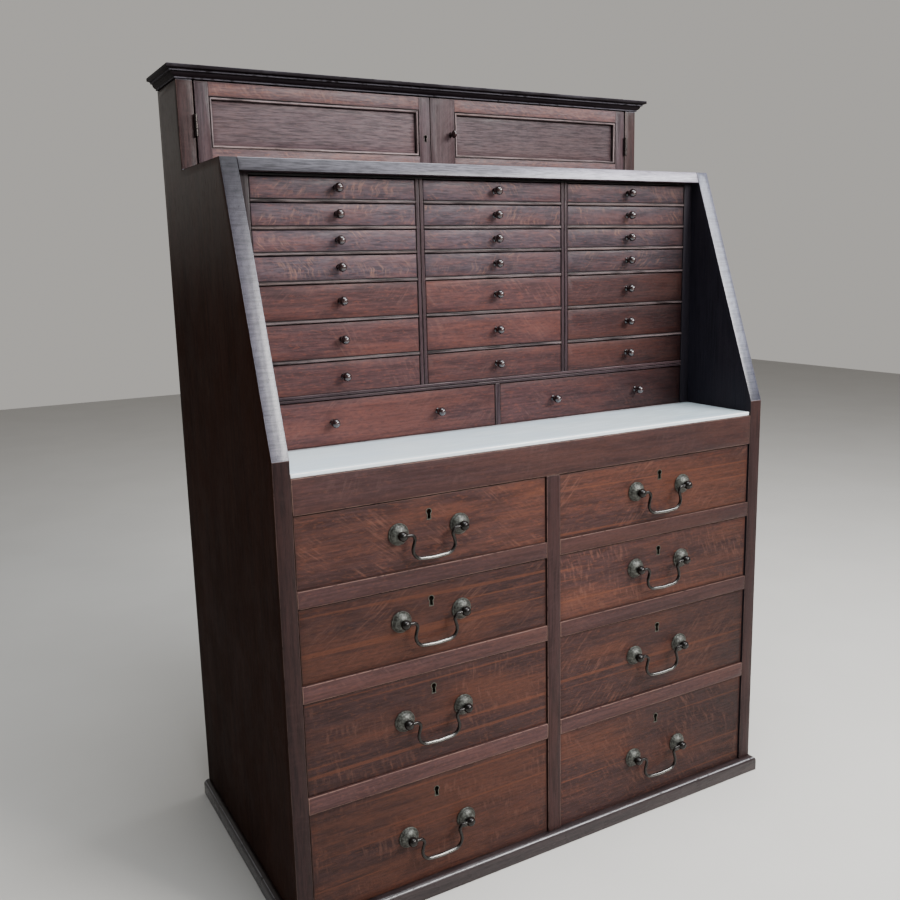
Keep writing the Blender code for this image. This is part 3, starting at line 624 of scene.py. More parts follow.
class Finish(Enum):
    """The finishes of the cabinet: for oak deep, body, warm, pale and worn colours come first."""

    SIDE = OakFinish(
        "dark_side_oak", (0.0170, 0.0054, 0.0031), (0.0350, 0.0118, 0.0070), (0.0460, 0.0160, 0.0094),
        (0.054, 0.024, 0.016), (0.085, 0.056, 0.048), ray_share=0.2, wear=0.4, gloss=(0.62, 0.70),
        specular=0.04, coat=0.62, coat_light_range=(1.0, 2.0))
    # Painted shade: a near-black, cool colour for the sides' inner faces and the nest's right upright, which
    # stand in shade
    PAINTED_SHADE_CHEEK = OakFinish(
        "painted_shade_cheek_oak", (0.0100, 0.0088, 0.0130), (0.0155, 0.0138, 0.0200), (0.0210, 0.0158, 0.0195),
        (0.024, 0.019, 0.024), (0.075, 0.058, 0.060), ray_share=0.1, wear=0.3, gloss=(0.50, 0.60),
        specular=0.10, coat=0.0)
    STILE = OakFinish(
        "stile_oak", (0.018, 0.008, 0.008), (0.040, 0.018, 0.018), (0.054, 0.022, 0.018),
        (0.066, 0.034, 0.032), RUBBED_BROWN, ray_share=0.3)
    # Painted reflection: the slopes and the rim get pale lilac colours for the sky's sheen on their tilted
    # faces; the right slope's is a brighter, bluer copy
    LEFT_SLOPE_SHEEN = OakFinish(
        "painted_sheen_left_slope_oak", (0.044, 0.040, 0.054), (0.108, 0.099, 0.128), (0.112, 0.095, 0.115),
        (0.130, 0.120, 0.150), RUBBED_SHEEN_LILAC, ray_share=0.1, warm_share=0.2, specular=0.10, coat=1.0,
        coat_light_range=FULL_LIGHT_RANGE, figure=CROSS_FIGURE)
    RIGHT_SLOPE_SHEEN = OakFinish(
        "painted_sheen_right_slope_oak", (0.046, 0.047, 0.070), (0.122, 0.125, 0.170), (0.126, 0.119, 0.156),
        (0.155, 0.154, 0.197), RUBBED_SHEEN_LILAC, ray_share=0.1, warm_share=0.2, specular=0.10, coat=1.0,
        coat_light_range=FULL_LIGHT_RANGE, figure=CROSS_FIGURE)
    RIM_SHEEN = OakFinish(
        "painted_sheen_rim_oak", (0.135, 0.124, 0.150), (0.400, 0.372, 0.445), (0.390, 0.350, 0.400),
        (0.440, 0.410, 0.485), RUBBED_SHEEN_LILAC, ray_share=0.1, warm_share=0.3, fleck_share=0.2,
        specular=0.14, coat=1.0, coat_light_range=FULL_LIGHT_RANGE, figure=PANEL_FIGURE)
    RAIL = OakFinish(
        "rail_oak", (0.046, 0.0215, 0.0205), (0.073, 0.0346, 0.0345), (0.114, 0.0455, 0.0345),
        (0.122, 0.063, 0.055), RUBBED_BROWN, fleck_share=0.5, ray_share=0.35, wear=0.8,
        wear_reach=0.0016)
    BIG_FRONT = OakFinish(
        "big_front_oak", (0.038, 0.0165, 0.0150), (0.066, 0.0300, 0.0285), (0.172, 0.0570, 0.0290),
        (0.175, 0.0750, 0.0520), RUBBED_BROWN, warm_share=0.5, fleck_share=0.36, ray_share=0.65,
        line_share=0.6, wear=0.4, edge_dirt_and_shade=0.9, dirt_and_shade_reach=0.0026, figure=BROAD_FIGURE)
    WIDE_FRONT = OakFinish(
        "wide_front_oak", (0.052, 0.0235, 0.0250), (0.098, 0.0425, 0.0430), (0.190, 0.0610, 0.0425),
        (0.180, 0.084, 0.070), RUBBED_GREY, warm_share=0.5, fleck_share=0.45, ray_share=0.4, wear=0.0,
        edge_dirt_and_shade=0.9, dirt_and_shade_reach=0.0026, figure=BROAD_FIGURE)
    FLECKED = OakFinish(
        "flecked_front_oak", (0.040, 0.028, 0.035), (0.083, 0.057, 0.068), (0.160, 0.064, 0.056),
        (0.235, 0.122, 0.090), RUBBED_GREY, warm_share=0.35, fleck_share=0.5, ray_share=0.8, wear=0.0,
        edge_dirt_and_shade=0.9, dirt_and_shade_reach=0.0026, figure=FLECK_FIGURE)
    NEST = OakFinish(
        "nest_frame_oak", (0.018, 0.0090, 0.0115), (0.046, 0.0268, 0.0325), (0.056, 0.029, 0.031),
        (0.078, 0.050, 0.055), RUBBED_GREY, ray_share=0.3, wear=0.4, edge_dirt_and_shade=0.9, dirt_and_shade_reach=0.0020)
    # Painted highlight: pale for the light along the dividers' lips and the doors' beads, with painted shade
    # darkening their edges
    PAINTED_HIGHLIGHT_LIP = OakFinish(
        "painted_highlight_lip_oak", (0.014, 0.008, 0.009), (0.235, 0.178, 0.180), (0.235, 0.155, 0.142),
        (0.290, 0.225, 0.222), RUBBED_GREY, ray_share=0.2, wear=0.0, edge_dirt_and_shade=1.0, dirt_and_shade_reach=0.0024)
    DOOR = OakFinish(
        "door_frame_oak", (0.028, 0.016, 0.019), (0.066, 0.041, 0.048), (0.090, 0.046, 0.047),
        (0.104, 0.070, 0.074), RUBBED_GREY, ray_share=0.35, wear=0.3)
    DOOR_RAIL = OakFinish(
        "door_rail_oak", (0.064, 0.038, 0.042), (0.118, 0.074, 0.078), (0.200, 0.080, 0.058),
        (0.230, 0.128, 0.104), RUBBED_GREY, warm_share=0.4, fleck_share=0.5, ray_share=0.5, wear=0.2,
        edge_dirt_and_shade=0.9, dirt_and_shade_reach=0.0026, figure=FLECK_FIGURE)
    PANEL = OakFinish(
        "door_panel_oak", (0.036, 0.021, 0.025), (0.106, 0.068, 0.075), (0.128, 0.068, 0.062),
        (0.140, 0.098, 0.100), RUBBED_GREY, warm_share=0.3, ray_share=0.15, figure=PANEL_FIGURE)
    # Painted highlights: the worn colours of the cornice and the plinth lie as thin light lines where their
    # profiles mark an edge, for the light on the cornice's arrises and along the plinth's round-over
    CORNICE = OakFinish(
        "cornice_oak", (0.005, 0.003, 0.004), (0.009, 0.006, 0.008), (0.012, 0.008, 0.009),
        (0.016, 0.012, 0.014), (0.080, 0.074, 0.088), ray_share=0.2, wear=0.9, wear_reach=0.0022,
        gloss=(0.48, 0.60), specular=0.06, coat=0.0)
    PLINTH = OakFinish(
        "plinth_oak", (0.014, 0.009, 0.010), (0.030, 0.020, 0.021), (0.036, 0.022, 0.021),
        (0.048, 0.033, 0.034), (0.300, 0.284, 0.300), ray_share=0.2, wear=0.9, wear_reach=0.0026,
        gloss=(0.20, 0.30), coat=0.5)
    INSIDE = OakFinish(
        "drawer_inside_oak", (0.105, 0.058, 0.030), (0.255, 0.160, 0.088), (0.290, 0.172, 0.090),
        (0.320, 0.215, 0.130), (0.320, 0.225, 0.140), ray_share=0.3, wear=0.3, dirt_and_shade_reach=EDGE_REACH,
        gloss=(0.60, 0.78), specular=0.25, coat=0.0)
    ROUGH = OakFinish(
        "back_plank_oak", (0.046, 0.030, 0.022), (0.110, 0.074, 0.053), (0.130, 0.082, 0.055),
        (0.140, 0.100, 0.076), (0.190, 0.145, 0.115), ray_share=0.1, edge_dirt_and_shade=0.7, dirt_and_shade_reach=EDGE_REACH,
        gloss=(0.65, 0.82), specular=0.2, coat=0.0, relief=0.5)
    BRONZE = BrassFinish(
        "handle_bronze", (0.170, 0.164, 0.154), (0.014, 0.011, 0.010), (0.022, 0.020, 0.018),
        grit_share=0.04, mottle=0.0012, gloss=(0.20, 0.22))
    ROSETTE = BrassFinish(
        "rosette_brass", (0.240, 0.236, 0.204), (0.034, 0.033, 0.028), (0.098, 0.101, 0.088),
        cloud=(300.0, 300.0, 300.0), gloss=(0.30, 0.46), metal=0.45)
    HINGE = BrassFinish(
        "hinge_brass", (0.070, 0.058, 0.054), (0.022, 0.017, 0.016), (0.038, 0.030, 0.028))
    KEY_RIM = BrassFinish(
        "key_rim_brass", (0.160, 0.158, 0.130), (0.050, 0.047, 0.038), (0.090, 0.092, 0.076))
    GLASS = GlassFinish("opal_glass")
    EBONY = EbonyFinish("ebonised_wood")


class Palette:
    """Builds each finish once, when it is first asked for."""

    def __init__(self) -> None:
        """Start with no finish built."""
        self.built: dict[Finish, Material] = {}

    def material(self, finish: Finish) -> Material:
        """Look up a finish, and build it if it is new.

        Args:
            finish: The finish.

        Returns:
            Its material.
        """
        if finish not in self.built:
            self.built[finish] = finish.value.build()
        return self.built[finish]


# Stock
class Grain(Enum):
    """Which axis the grain runs along, which lies across the board's face and which goes into it."""

    RIGHT_FRONT = (0, 2, 1)
    RIGHT_TOP = (0, 1, 2)
    UP_FRONT = (2, 0, 1)
    UP_SIDE = (2, 1, 0)
    BACK_SIDE = (1, 2, 0)
    BACK_TOP = (1, 0, 2)


class Sawn(Enum):
    """How a board was sawn: the log's heart beside it or behind it, as nearest and farthest distances."""

    QUARTER = ((0.10, 0.26), (-0.01, 0.01))
    FLAT = ((-0.05, 0.05), (0.03, 0.09))


class Slot(Enum):
    """The record's material slots."""

    FRAME = "oak_frame"
    DRAWER = "oak_drawer"
    DARK = "dark_oak"
    PALE = "pale_oak"
    GLASS = "opal_glass"
    BRASS = "aged_brass"
    EBONY = "ebonised_wood"


class Timber:
    """Seeded choice of where each board lay in its log, and of how dark it is."""

    def __init__(self, seed: int) -> None:
        """Start the draws from a seed."""
        self.draws = random.Random(seed)

    def heart(self, sawn: Sawn) -> Vector:
        """Draw where a board lay in its log.

        Args:
            sawn: How the board was sawn.

        Returns:
            The way from the log's heart to the board's middle, with a random place along the log.
        """
        beside, behind = sawn.value
        along = self.draws.uniform(0.0, LOG_LENGTH)
        return Vector((along, self.draws.uniform(*beside), self.draws.uniform(*behind)))

    def tone(self) -> float:
        """Return a board's tone, from 0 for dark to 1 for light."""
        return self.draws.random()


TIMBER = Timber(SEED)
# Painted light: the share of its finish's colour that a point keeps; under 1 it paints shade on the wood
PaintedLight = Callable[[Vector], float]


@dataclass(frozen=True)
class Slant:
    """How painted light changes over the cabinet, with a bend on the way: 1 keeps a finish's colour and less
    paints shade on it.
    """

    start: float = 1.0
    right: float = 0.0
    up: float = 0.0
    bend: float = 1.0
    fall: float = 0.0

    def __call__(self, point: Vector) -> float:
        """Return the painted light at a point."""
        even = self.start + self.right * point.x + self.up * point.z
        return clamp(even - self.fall * max(0.0, point.x - self.bend))


# Even painted light, with no painted shade
EVEN_LIGHT = Slant()


def box_shape(low: Vector, high: Vector) -> Shape:
    """Make a plain box.

    Args:
        low: Its lowest corner.
        high: Its highest corner.

    Returns:
        The box.
    """
    shape = bmesh.new()
    bmesh.ops.create_cube(shape, size=1.0)
    bmesh.ops.scale(shape, vec=high - low, verts=shape.verts)
    bmesh.ops.translate(shape, vec=(low + high) / 2, verts=shape.verts)
    return shape


def prism_shape(outline: Sequence[Vector], way: Vector) -> Shape:
    """Sweep an outline along a way.

    Args:
        outline: The outline's corners.
        way: How far it goes, and where to.

    Returns:
        The prism.
    """
    shape = bmesh.new()
    face = shape.faces.new([shape.verts.new(point) for point in outline])
    swept = bmesh.ops.extrude_face_region(shape, geom=[face])
    moved = [item for item in swept["geom"] if isinstance(item, bmesh.types.BMVert)]
    bmesh.ops.translate(shape, vec=way, verts=moved)
    bmesh.ops.recalc_face_normals(shape, faces=shape.faces)
    return shape


def soften(shape: Shape, bevel: float) -> None:
    """Round a shape's edges, and ring each of its faces so that wear can follow the edges.

    Args:
        shape: The shape to change.
        bevel: How far the rounding reaches from each edge.
    """
    rounded = bmesh.ops.bevel(shape, geom=list(shape.edges), offset=bevel, offset_type="OFFSET",
                              segments=BEVEL_SEGMENTS, profile=BEVEL_PROFILE, affect="EDGES")
    skip = set(rounded["faces"])
    for face in [face for face in shape.faces if face not in skip]:
        shortest = min(edge.calc_length() for edge in face.edges)
        inset = min(EDGE_REACH, INSET_SHARE * shortest)
        bmesh.ops.inset_individual(shape, faces=[face], thickness=inset, use_even_offset=True)


def divide(shape: Shape, cuts: Sequence[Vector]) -> None:
    """Divide a shape's faces so that painted light can change along them.

    Args:
        shape: The shape to change.
        cuts: The point of each cutting plane that lies nearest the origin.
    """
    for cut in cuts:
        everything = [*shape.verts, *shape.edges, *shape.faces]
        bmesh.ops.bisect_plane(shape, geom=everything, plane_co=cut, plane_no=cut)


def as_object(shape: Shape) -> bpy.types.Object:
    """Put a shape in the scene.

    Args:
        shape: The shape, which is freed.

    Returns:
        The object that has its mesh.
    """
    mesh = bpy.data.meshes.new("carving")
    shape.to_mesh(mesh)
    shape.free()
    item = bpy.data.objects.new("carving", mesh)
    bpy.context.scene.collection.objects.link(item)
    return item


def carve(shape: Shape, cutters: Sequence[Shape]) -> Shape:
    """Return a shape with other shapes cut from it.

    Args:
        shape: The shape to cut, which is freed.
        cutters: The shapes to cut from it, which are freed.

    Returns:
        The cut shape.
    """
    block = as_object(shape)
    tools = [as_object(cutter) for cutter in cutters]
    for tool in tools:
        step = block.modifiers.new("cut", "BOOLEAN")
        step.operation = "DIFFERENCE"
        step.solver = "EXACT"
        step.object = tool
    bpy.context.view_layer.update()
    cut = bpy.data.meshes.new_from_object(block.evaluated_get(bpy.context.evaluated_depsgraph_get()))
    for item in (block, *tools):
        bpy.data.objects.remove(item, do_unlink=True)
    result = bmesh.new()
    result.from_mesh(cut)
    bpy.data.meshes.remove(cut)
    return result


class Stock:
    """Gathers the boards, turnings and mouldings of one piece."""

    def __init__(self, name: str, body: str, slot: Slot, nodes: Sequence[str] = (),
                 sawn: Sawn = Sawn.QUARTER) -> None:
        """Start an empty piece.

        Args:
            name: The piece's name.
            body: The CAD body that it rides on.
            slot: The material slot that it stands for; not used.
            nodes: The CAD nodes that it stands for.
            sawn: How its boards were sawn.
        """
        self.name = name
        self.body = body
        self.slot = slot
        self.nodes = tuple(nodes)
        self.sawn = sawn
        self.finishes: list[Finish] = []
        self.points: list[Vector] = []
        self.faces: list[tuple[int, ...]] = []
        self.indices: list[int] = []
        self.smooth: list[bool] = []
        self.grain: list[float] = []
        self.edge: list[float] = []
        self.tone: list[float] = []
        self.age: list[float] = []

    def index(self, finish: Finish) -> int:
        """Look up a finish among the piece's own, and add it if it is new.

        Args:
            finish: The finish.

        Returns:
            Its place among them.
        """
        if finish not in self.finishes:
            self.finishes.append(finish)
        return self.finishes.index(finish)

    def add(self, points: Sequence[Vector], faces: Sequence[Sequence[int]], edges: Sequence[float],
            grain: Grain, finishes: Sequence[Finish], smooth: bool, painted_light_of: PaintedLight = EVEN_LIGHT) -> None:
        """Add one board or turning.

        Args:
            points: Its points.
            faces: Its faces, by the numbers of their points.
            edges: How far each point lies from a worn edge.
            grain: How its grain runs.
            finishes: The finish of each face.
            smooth: Whether its faces are shaded as one curved surface.
            painted_light_of: Gives the painted light at a point.
        """
        start = len(self.points)
        low = Vector(min(point[axis] for point in points) for axis in AXES)
        high = Vector(max(point[axis] for point in points) for axis in AXES)
        middle = (low + high) / 2
        heart = TIMBER.heart(self.sawn)
        tone = TIMBER.tone()
        for point, edge in zip(points, edges):
            self.points.append(point)
            self.grain.extend(point[axis] - middle[axis] + way for axis, way in zip(grain.value, heart))
            self.edge.append(edge)
            self.tone.append(tone)
            self.age.append(painted_light_of(point))
        for face, finish in zip(faces, finishes):
            self.faces.append(tuple(start + number for number in face))
            self.indices.append(self.index(finish))
            self.smooth.append(smooth)

    def take(self, shape: Shape, edge_of: Callable[[Vector], float], grain: Grain,
             finish_of: Callable[[Vector], Finish], painted_light_of: PaintedLight) -> None:
        """Add a shape, and free it.

        Args:
            shape: The shape to add.
            edge_of: Gives how far a point lies from a worn edge.
            grain: How its grain runs.
            finish_of: Gives the finish of a face from its normal.
            painted_light_of: Gives the painted light at a point.
        """
        shape.verts.index_update()
        shape.normal_update()
        points = [vert.co.copy() for vert in shape.verts]
        faces = [[vert.index for vert in face.verts] for face in shape.faces]
        finishes = [finish_of(face.normal) for face in shape.faces]
        shape.free()
        self.add(points, faces, [edge_of(point) for point in points], grain, finishes, False, painted_light_of)

    def board(self, low: Sequence[float], high: Sequence[float], grain: Grain, finish: Finish,
              bevel: float = BOARD_BEVEL, holes: Sequence[Shape] = (), painted_light_of: PaintedLight = EVEN_LIGHT,
              cuts: Sequence[Vector] = ()) -> None:
        """Add a board with rounded edges.

        Args:
            low: Its lowest corner.
            high: Its highest corner.
            grain: How its grain runs.
            finish: Its finish.
            bevel: How far its edges are rounded.
            holes: Shapes to cut from it.
            painted_light_of: Gives the painted light at a point.
            cuts: Where its faces are divided.
        """
        low, high = Vector(low), Vector(high)
        middle, half = (low + high) / 2, (high - low) / 2
        shape = box_shape(low, high)
        soften(shape, bevel)
        divide(shape, cuts)
        if holes:
            shape = carve(shape, holes)

        def edge_of(point: Vector) -> float:
            """Return a point's distance from the nearest edge of the board."""
            depths = sorted(half[axis] - abs(point[axis] - middle[axis]) for axis in AXES)
            return min(depths[1], EDGE_REACH)

        self.take(shape, edge_of, grain, lambda normal: finish, painted_light_of)

    def prism(self, outline: Sequence[Pair], left: float, right: float, grain: Grain,
              finish_of: Callable[[Vector], Finish], bevel: float = PRISM_BEVEL, painted_light_of: PaintedLight = EVEN_LIGHT,
              cuts: Sequence[Vector] = ()) -> None:
        """Add a board with a (depth, height) outline that runs from left to right.

        Args:
            outline: The corners of its outline.
            left: Where it starts.
            right: Where it ends.
            grain: How its grain runs.
            finish_of: Gives the finish of a face from its normal.
            bevel: How far its edges are rounded.
            painted_light_of: Gives the painted light at a point.
            cuts: Where its faces are divided.
        """
        corners = [Vector((left, depth, height)) for depth, height in outline]
        shape = prism_shape(corners, RIGHT * (right - left))
        soften(shape, bevel)
        divide(shape, cuts)
        sides = [(start, end - start) for start, end in zip(corners, corners[1:] + corners[:1])]

        def edge_of(point: Vector) -> float:
            """Measure how far a point lies from the nearest edge of the board.

            Args:
                point: The point.

            Returns:
                The distance, or the reach of wear where that is less.
            """
            depths = [min(point.x - left, right - point.x)]
            for start, way in sides:
                offset = Vector((0.0, point.y - start.y, point.z - start.z))
                share = clamp(offset.dot(way) / way.length_squared)
                depths.append((offset - way * share).length)
            return min(sorted(depths)[1], EDGE_REACH)

        self.take(shape, edge_of, grain, finish_of, painted_light_of)

    def loft(self, loops: Sequence[Sequence[Vector]], edges: Sequence[float], grain: Grain, finish: Finish,
             wrap: bool = False) -> None:
        """Add a smooth skin over closed loops of as many points each.

        Args:
            loops: The loops, in order.
            edges: How far each point lies from a worn edge.
            grain: How its grain runs.
            finish: Its finish.
            wrap: Whether the last loop joins the first; otherwise both are capped.
        """
        count, last = len(loops[0]), len(loops) - 1
        faces: list[list[int]] = []
        for row in range(len(loops) if wrap else last):
            after = (row + 1) % len(loops)
            for column in range(count):
                turn = (column + 1) % count
                here, there = row * count, after * count
                faces.append([here + column, here + turn, there + turn, there + column])
        if not wrap:
            faces.append(list(reversed(range(count))))
            faces.append([last * count + column for column in range(count)])
        points = [point for loop in loops for point in loop]
        self.add(points, faces, edges, grain, [finish] * len(faces), True)

    def turned(self, place: Vector, profile: Sequence[Point], axis: Vector, steps: int, finish: Finish,
               oval: float = 1.0) -> None:
        """Add a shape turned about an axis.

        Args:
            place: Where the axis starts.
            profile: Radius, reach along the axis and distance from a worn edge of each ring.
            axis: The axis.
            steps: How many points each ring has.
            finish: Its finish.
            oval: How wide it is for its height, where it isn't round.
        """
        second = UP if abs(axis.z) < FACING else BACKWARD
        first = second.cross(axis) * oval
        turns = [math.tau * step / steps for step in range(steps)]
        ways = [first * math.cos(turn) + second * math.sin(turn) for turn in turns]
        loops = [[place + axis * reach + way * radius for way in ways] for radius, reach, _ in profile]
        edges = [edge for _, _, edge in profile for _ in ways]
        self.loft(loops, edges, Grain.BACK_SIDE, finish)

    def moulding(self, ends: Sequence[Vector], leans: Sequence[Vector], rise: Vector,
                 profile: Sequence[Point], grain: Grain, finish: Finish) -> None:
        """Add a straight run of moulding, cut to its mitres.

        Args:
            ends: Where the run starts and ends.
            leans: The way that the profile's reach takes at each end.
            rise: The way that the profile's height takes.
            profile: Reach, height and distance from a worn edge of each point.
            grain: How its grain runs.
            finish: Its finish.
        """
        loops = [[end + lean * reach + rise * height for reach, height, _ in profile]
                 for end, lean in zip(ends, leans)]
        edges = [edge for _ in loops for _, _, edge in profile]
        self.loft(loops, edges, grain, finish)

    def make(self, palette: Palette) -> bpy.types.Object:
        """Make the piece an object, with its finishes, its body and the nodes it stands for.

        Args:
            palette: Gives the material of each finish.

        Returns:
            The object.
        """
        mesh = bpy.data.meshes.new(self.name)
        mesh.from_pydata(self.points, [], self.faces)
        for finish in self.finishes:
            mesh.materials.append(palette.material(finish))
        mesh.polygons.foreach_set("material_index", self.indices)
        mesh.polygons.foreach_set("use_smooth", self.smooth)
        shape = bmesh.new()
        shape.from_mesh(mesh)
        bmesh.ops.recalc_face_normals(shape, faces=shape.faces)
        shape.to_mesh(mesh)
        shape.free()
        mesh.set_sharp_from_angle(angle=SHARP_ANGLE)
        mesh.attributes.new("grain", "FLOAT_VECTOR", "POINT").data.foreach_set("vector", self.grain)
        for name, values in (("edge", self.edge), ("tone", self.tone), ("age", self.age)):
            mesh.attributes.new(name, "FLOAT", "POINT").data.foreach_set("value", values)
        piece = bpy.data.objects.new(self.name, mesh)
        bpy.context.scene.collection.objects.link(piece)
        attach(piece, self.body)
        if self.nodes:
            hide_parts(*self.nodes)
        LOG.info("%s: %d faces on %s", self.name, len(self.faces), self.body)
        return piece


def corners_of(node: str) -> tuple[Vector, Vector]:
    """Return the lowest and highest corner of a CAD node."""
    low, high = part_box(node)
    return Vector(low), Vector(high)


class Assembly:
    """A sub-assembly of the cabinet."""

    def build(self) -> Iterator[Stock]:
        """Give the sub-assembly's pieces one by one."""
        raise NotImplementedError

    def dress(self, palette: Palette) -> list[bpy.types.Object]:
        """Return the sub-assembly's pieces as objects with their finishes."""
        return [stock.make(palette) for stock in self.build()]


@dataclass
class MouldedBoard(Assembly):
    """A board with a mitred moulding along its front and both its sides."""

    node: str
    piece: str
    slot: Slot
    finish: Finish
    board_finish: Finish
    overhang: float
    inner: float
    board_drop: float = 0.0

    def profile(self) -> Sequence[Point]:
        """Return the moulding's section: reach, height and distance from a worn edge of each point."""
        raise NotImplementedError

    def build(self) -> Iterator[Stock]:
        """Give the moulding and the board inside it as one piece.

        Yields:
            The piece.
        """
        low, high = corners_of(self.node)
        left, right = low.x + self.overhang, high.x - self.overhang
        front, back = low.y + self.overhang, high.y
        profile = self.profile()
        stock = Stock(self.piece, "case", self.slot, [self.node])
        front_left, front_right = Vector((left, front, low.z)), Vector((right, front, low.z))
        leans = (Vector((-1.0, -1.0, 0.0)), Vector((1.0, -1.0, 0.0)))
        stock.moulding((front_left, front_right), leans, UP, profile, Grain.RIGHT_FRONT, self.finish)
        for corner, lean, way in ((front_left, leans[0], -RIGHT), (front_right, leans[1], RIGHT)):
            end = Vector((corner.x, back, corner.z))
            stock.moulding((corner, end), (lean, way), UP, profile, Grain.BACK_SIDE, self.finish)
        board_low = (left + self.inner, front + self.inner, low.z)
        board_high = (right - self.inner, back, high.z - self.board_drop)
        stock.board(board_low, board_high, Grain.RIGHT_TOP, self.board_finish)
        yield stock


# Case
@dataclass
class Sides(Assembly):
    """The two shaped sides of the case."""

    stile_rise: float = 0.0195
    slope_run: float = SLOPE_RUN
    bevel: float = 0.0012
    # Painted shade: the outer face darkens towards the floor, the stiles are darkened and the slopes darken
    # along parts of their length; past 1 high up outside, only the coat grows
    low_painted_light: float = 0.70
    polish_start: float = 0.88
    polish_end: float = 1.20
    slope_painted_lights: tuple[Pair, Pair] = ((0.20, 1.60), (2.40, 0.40))
    stile_painted_lights: Pair = (0.60, 0.80)
    touch: float = 0.0002
    levels: tuple[float, ...] = (0.30, 0.60, 0.75, 0.84, 0.92, 1.0, 1.10, 1.18)

    def build(self) -> Iterator[Stock]:
        """Give the sides.

        Yields:
            The left side, and then the right side.
        """
        slab_top = corners_of("worktop_slab")[1].z
        ledge = corners_of("nest_top")[1].z
        cupboard_front = corners_of("door_left")[0].y
        for node in ("side_left", "side_right"):
            low, high = corners_of(node)
            outline = [
                (low.y, low.z),
                (low.y, slab_top + self.stile_rise),
                (low.y + self.slope_run, ledge),
                (cupboard_front, ledge),
                (cupboard_front, high.z),
                (high.y, high.z),
                (high.y, low.z),
            ]
            inward = 1.0 if node == "side_left" else -1.0
            stock = Stock(f"{node}_board", "case", Slot.DARK, [node], Sawn.FLAT)
            finish_of = partial(self.finish_of, inward)
            faces = (low.x, high.x) if inward > 0.0 else (high.x, low.x)
            painted_light_of = partial(self.painted_light_of, faces, (slab_top + self.stile_rise, ledge), inward)
            cuts = [UP * level for level in self.levels]
            stock.prism(outline, low.x, high.x, Grain.UP_SIDE, finish_of, self.bevel, painted_light_of, cuts)
            yield stock

    def painted_light_of(self, faces: Pair, slope: Pair, inward: float, point: Vector) -> float:
        """Give the painted light at a point of a side: painted shade low down and polished high up outside,
        and painted shade on the stiles and along parts of the slopes.

        Args:
            faces: Where the side's outer and inner faces lie.
            slope: The heights of the slope's foot and top.
            inward: Which way the inner face looks.
            point: The point.

        Returns:
            The painted light.
        """
        outer, inner = faces
        if abs(point.x - outer) < self.touch:
            reach = self.polish_end - self.polish_start
            share = clamp((point.z - self.polish_start) / reach)
            return self.low_painted_light + (1.0 - self.low_painted_light) * min(1.0, point.z / self.polish_start) + share
        foot, top = slope
        if abs(point.x - inner) < self.touch or point.z > top:
            return 1.0
        number = 0 if inward > 0.0 else 1
        if point.z <= foot:
            return self.stile_painted_lights[number]
        slope_top_light, slope_foot_light = self.slope_painted_lights[number]
        return min(1.0, slope_foot_light + (slope_top_light - slope_foot_light) * (point.z - foot) / (top - foot))

    @staticmethod
    def finish_of(inward: float, normal: Vector) -> Finish:
        """Choose the finish of a side's face: its slope, its front edges, its inner face or the rest.

        Args:
            inward: Which way the inner face looks.
            normal: The face's normal.

        Returns:
            The finish.
        """
        if normal.y < -FACING:
            slope = Finish.LEFT_SLOPE_SHEEN if inward > 0.0 else Finish.RIGHT_SLOPE_SHEEN
            return slope if normal.z > LEANING else Finish.STILE
        return Finish.PAINTED_SHADE_CHEEK if normal.x * inward > FACING else Finish.SIDE


@dataclass
class Plinth(MouldedBoard):
    """The base board with its rounded, mitred edge."""

    node: str = "base_board"
    piece: str = "base_board_plinth"
    slot: Slot = Slot.FRAME
    finish: Finish = Finish.PLINTH
    board_finish: Finish = Finish.ROUGH
    overhang: float = 0.010
    inner: float = 0.040
    round_over: float = 0.0085
    round_steps: int = 8
    foot_bevel: float = 0.0010

    def profile(self) -> list[Point]:
        """Work out the plinth's section, from its foot round to its top.

        Returns:
            Reach, height and distance from a worn edge of each point.
        """
        height = corners_of(self.node)[1].z
        points = [(-self.inner, 0.0, EDGE_REACH), (self.overhang - self.foot_bevel, 0.0, EDGE_REACH)]
        points.append((self.overhang, self.foot_bevel, EDGE_REACH))
        for step in range(self.round_steps + 1):
            angle = math.pi / 2 * step / self.round_steps
            reach = self.overhang - self.round_over * (1.0 - math.cos(angle))
            rise = height - self.round_over * (1.0 - math.sin(angle))
            # The crown of the round-over is marked as an edge, so the plinth's painted highlight runs along
            # it
            points.append((reach, rise, EDGE_REACH * abs(1.0 - 2.0 * step / self.round_steps)))
        points.append((-self.inner, height, EDGE_REACH))
        return points


@dataclass
class BackPlanks(Assembly):
    """The back of the case, of upright planks."""

    count: int = 6
    joint: float = 0.0006
    bevel: float = 0.0020

    def build(self) -> Iterator[Stock]:
        """Give the planks as one piece.

        Yields:
            The piece.
        """
        low, high = corners_of("back_panel")
        width = (high.x - low.x) / self.count
        stock = Stock("back_panel_planks", "case", Slot.DARK, ["back_panel"], Sawn.FLAT)
        for number in range(self.count):
            left = low.x + number * width + self.joint / 2
            right = low.x + (number + 1) * width - self.joint / 2
            plank_low, plank_high = (left, low.y, low.z), (right, high.y, high.z)
            stock.board(plank_low, plank_high, Grain.UP_FRONT, Finish.ROUGH, self.bevel)
        yield stock


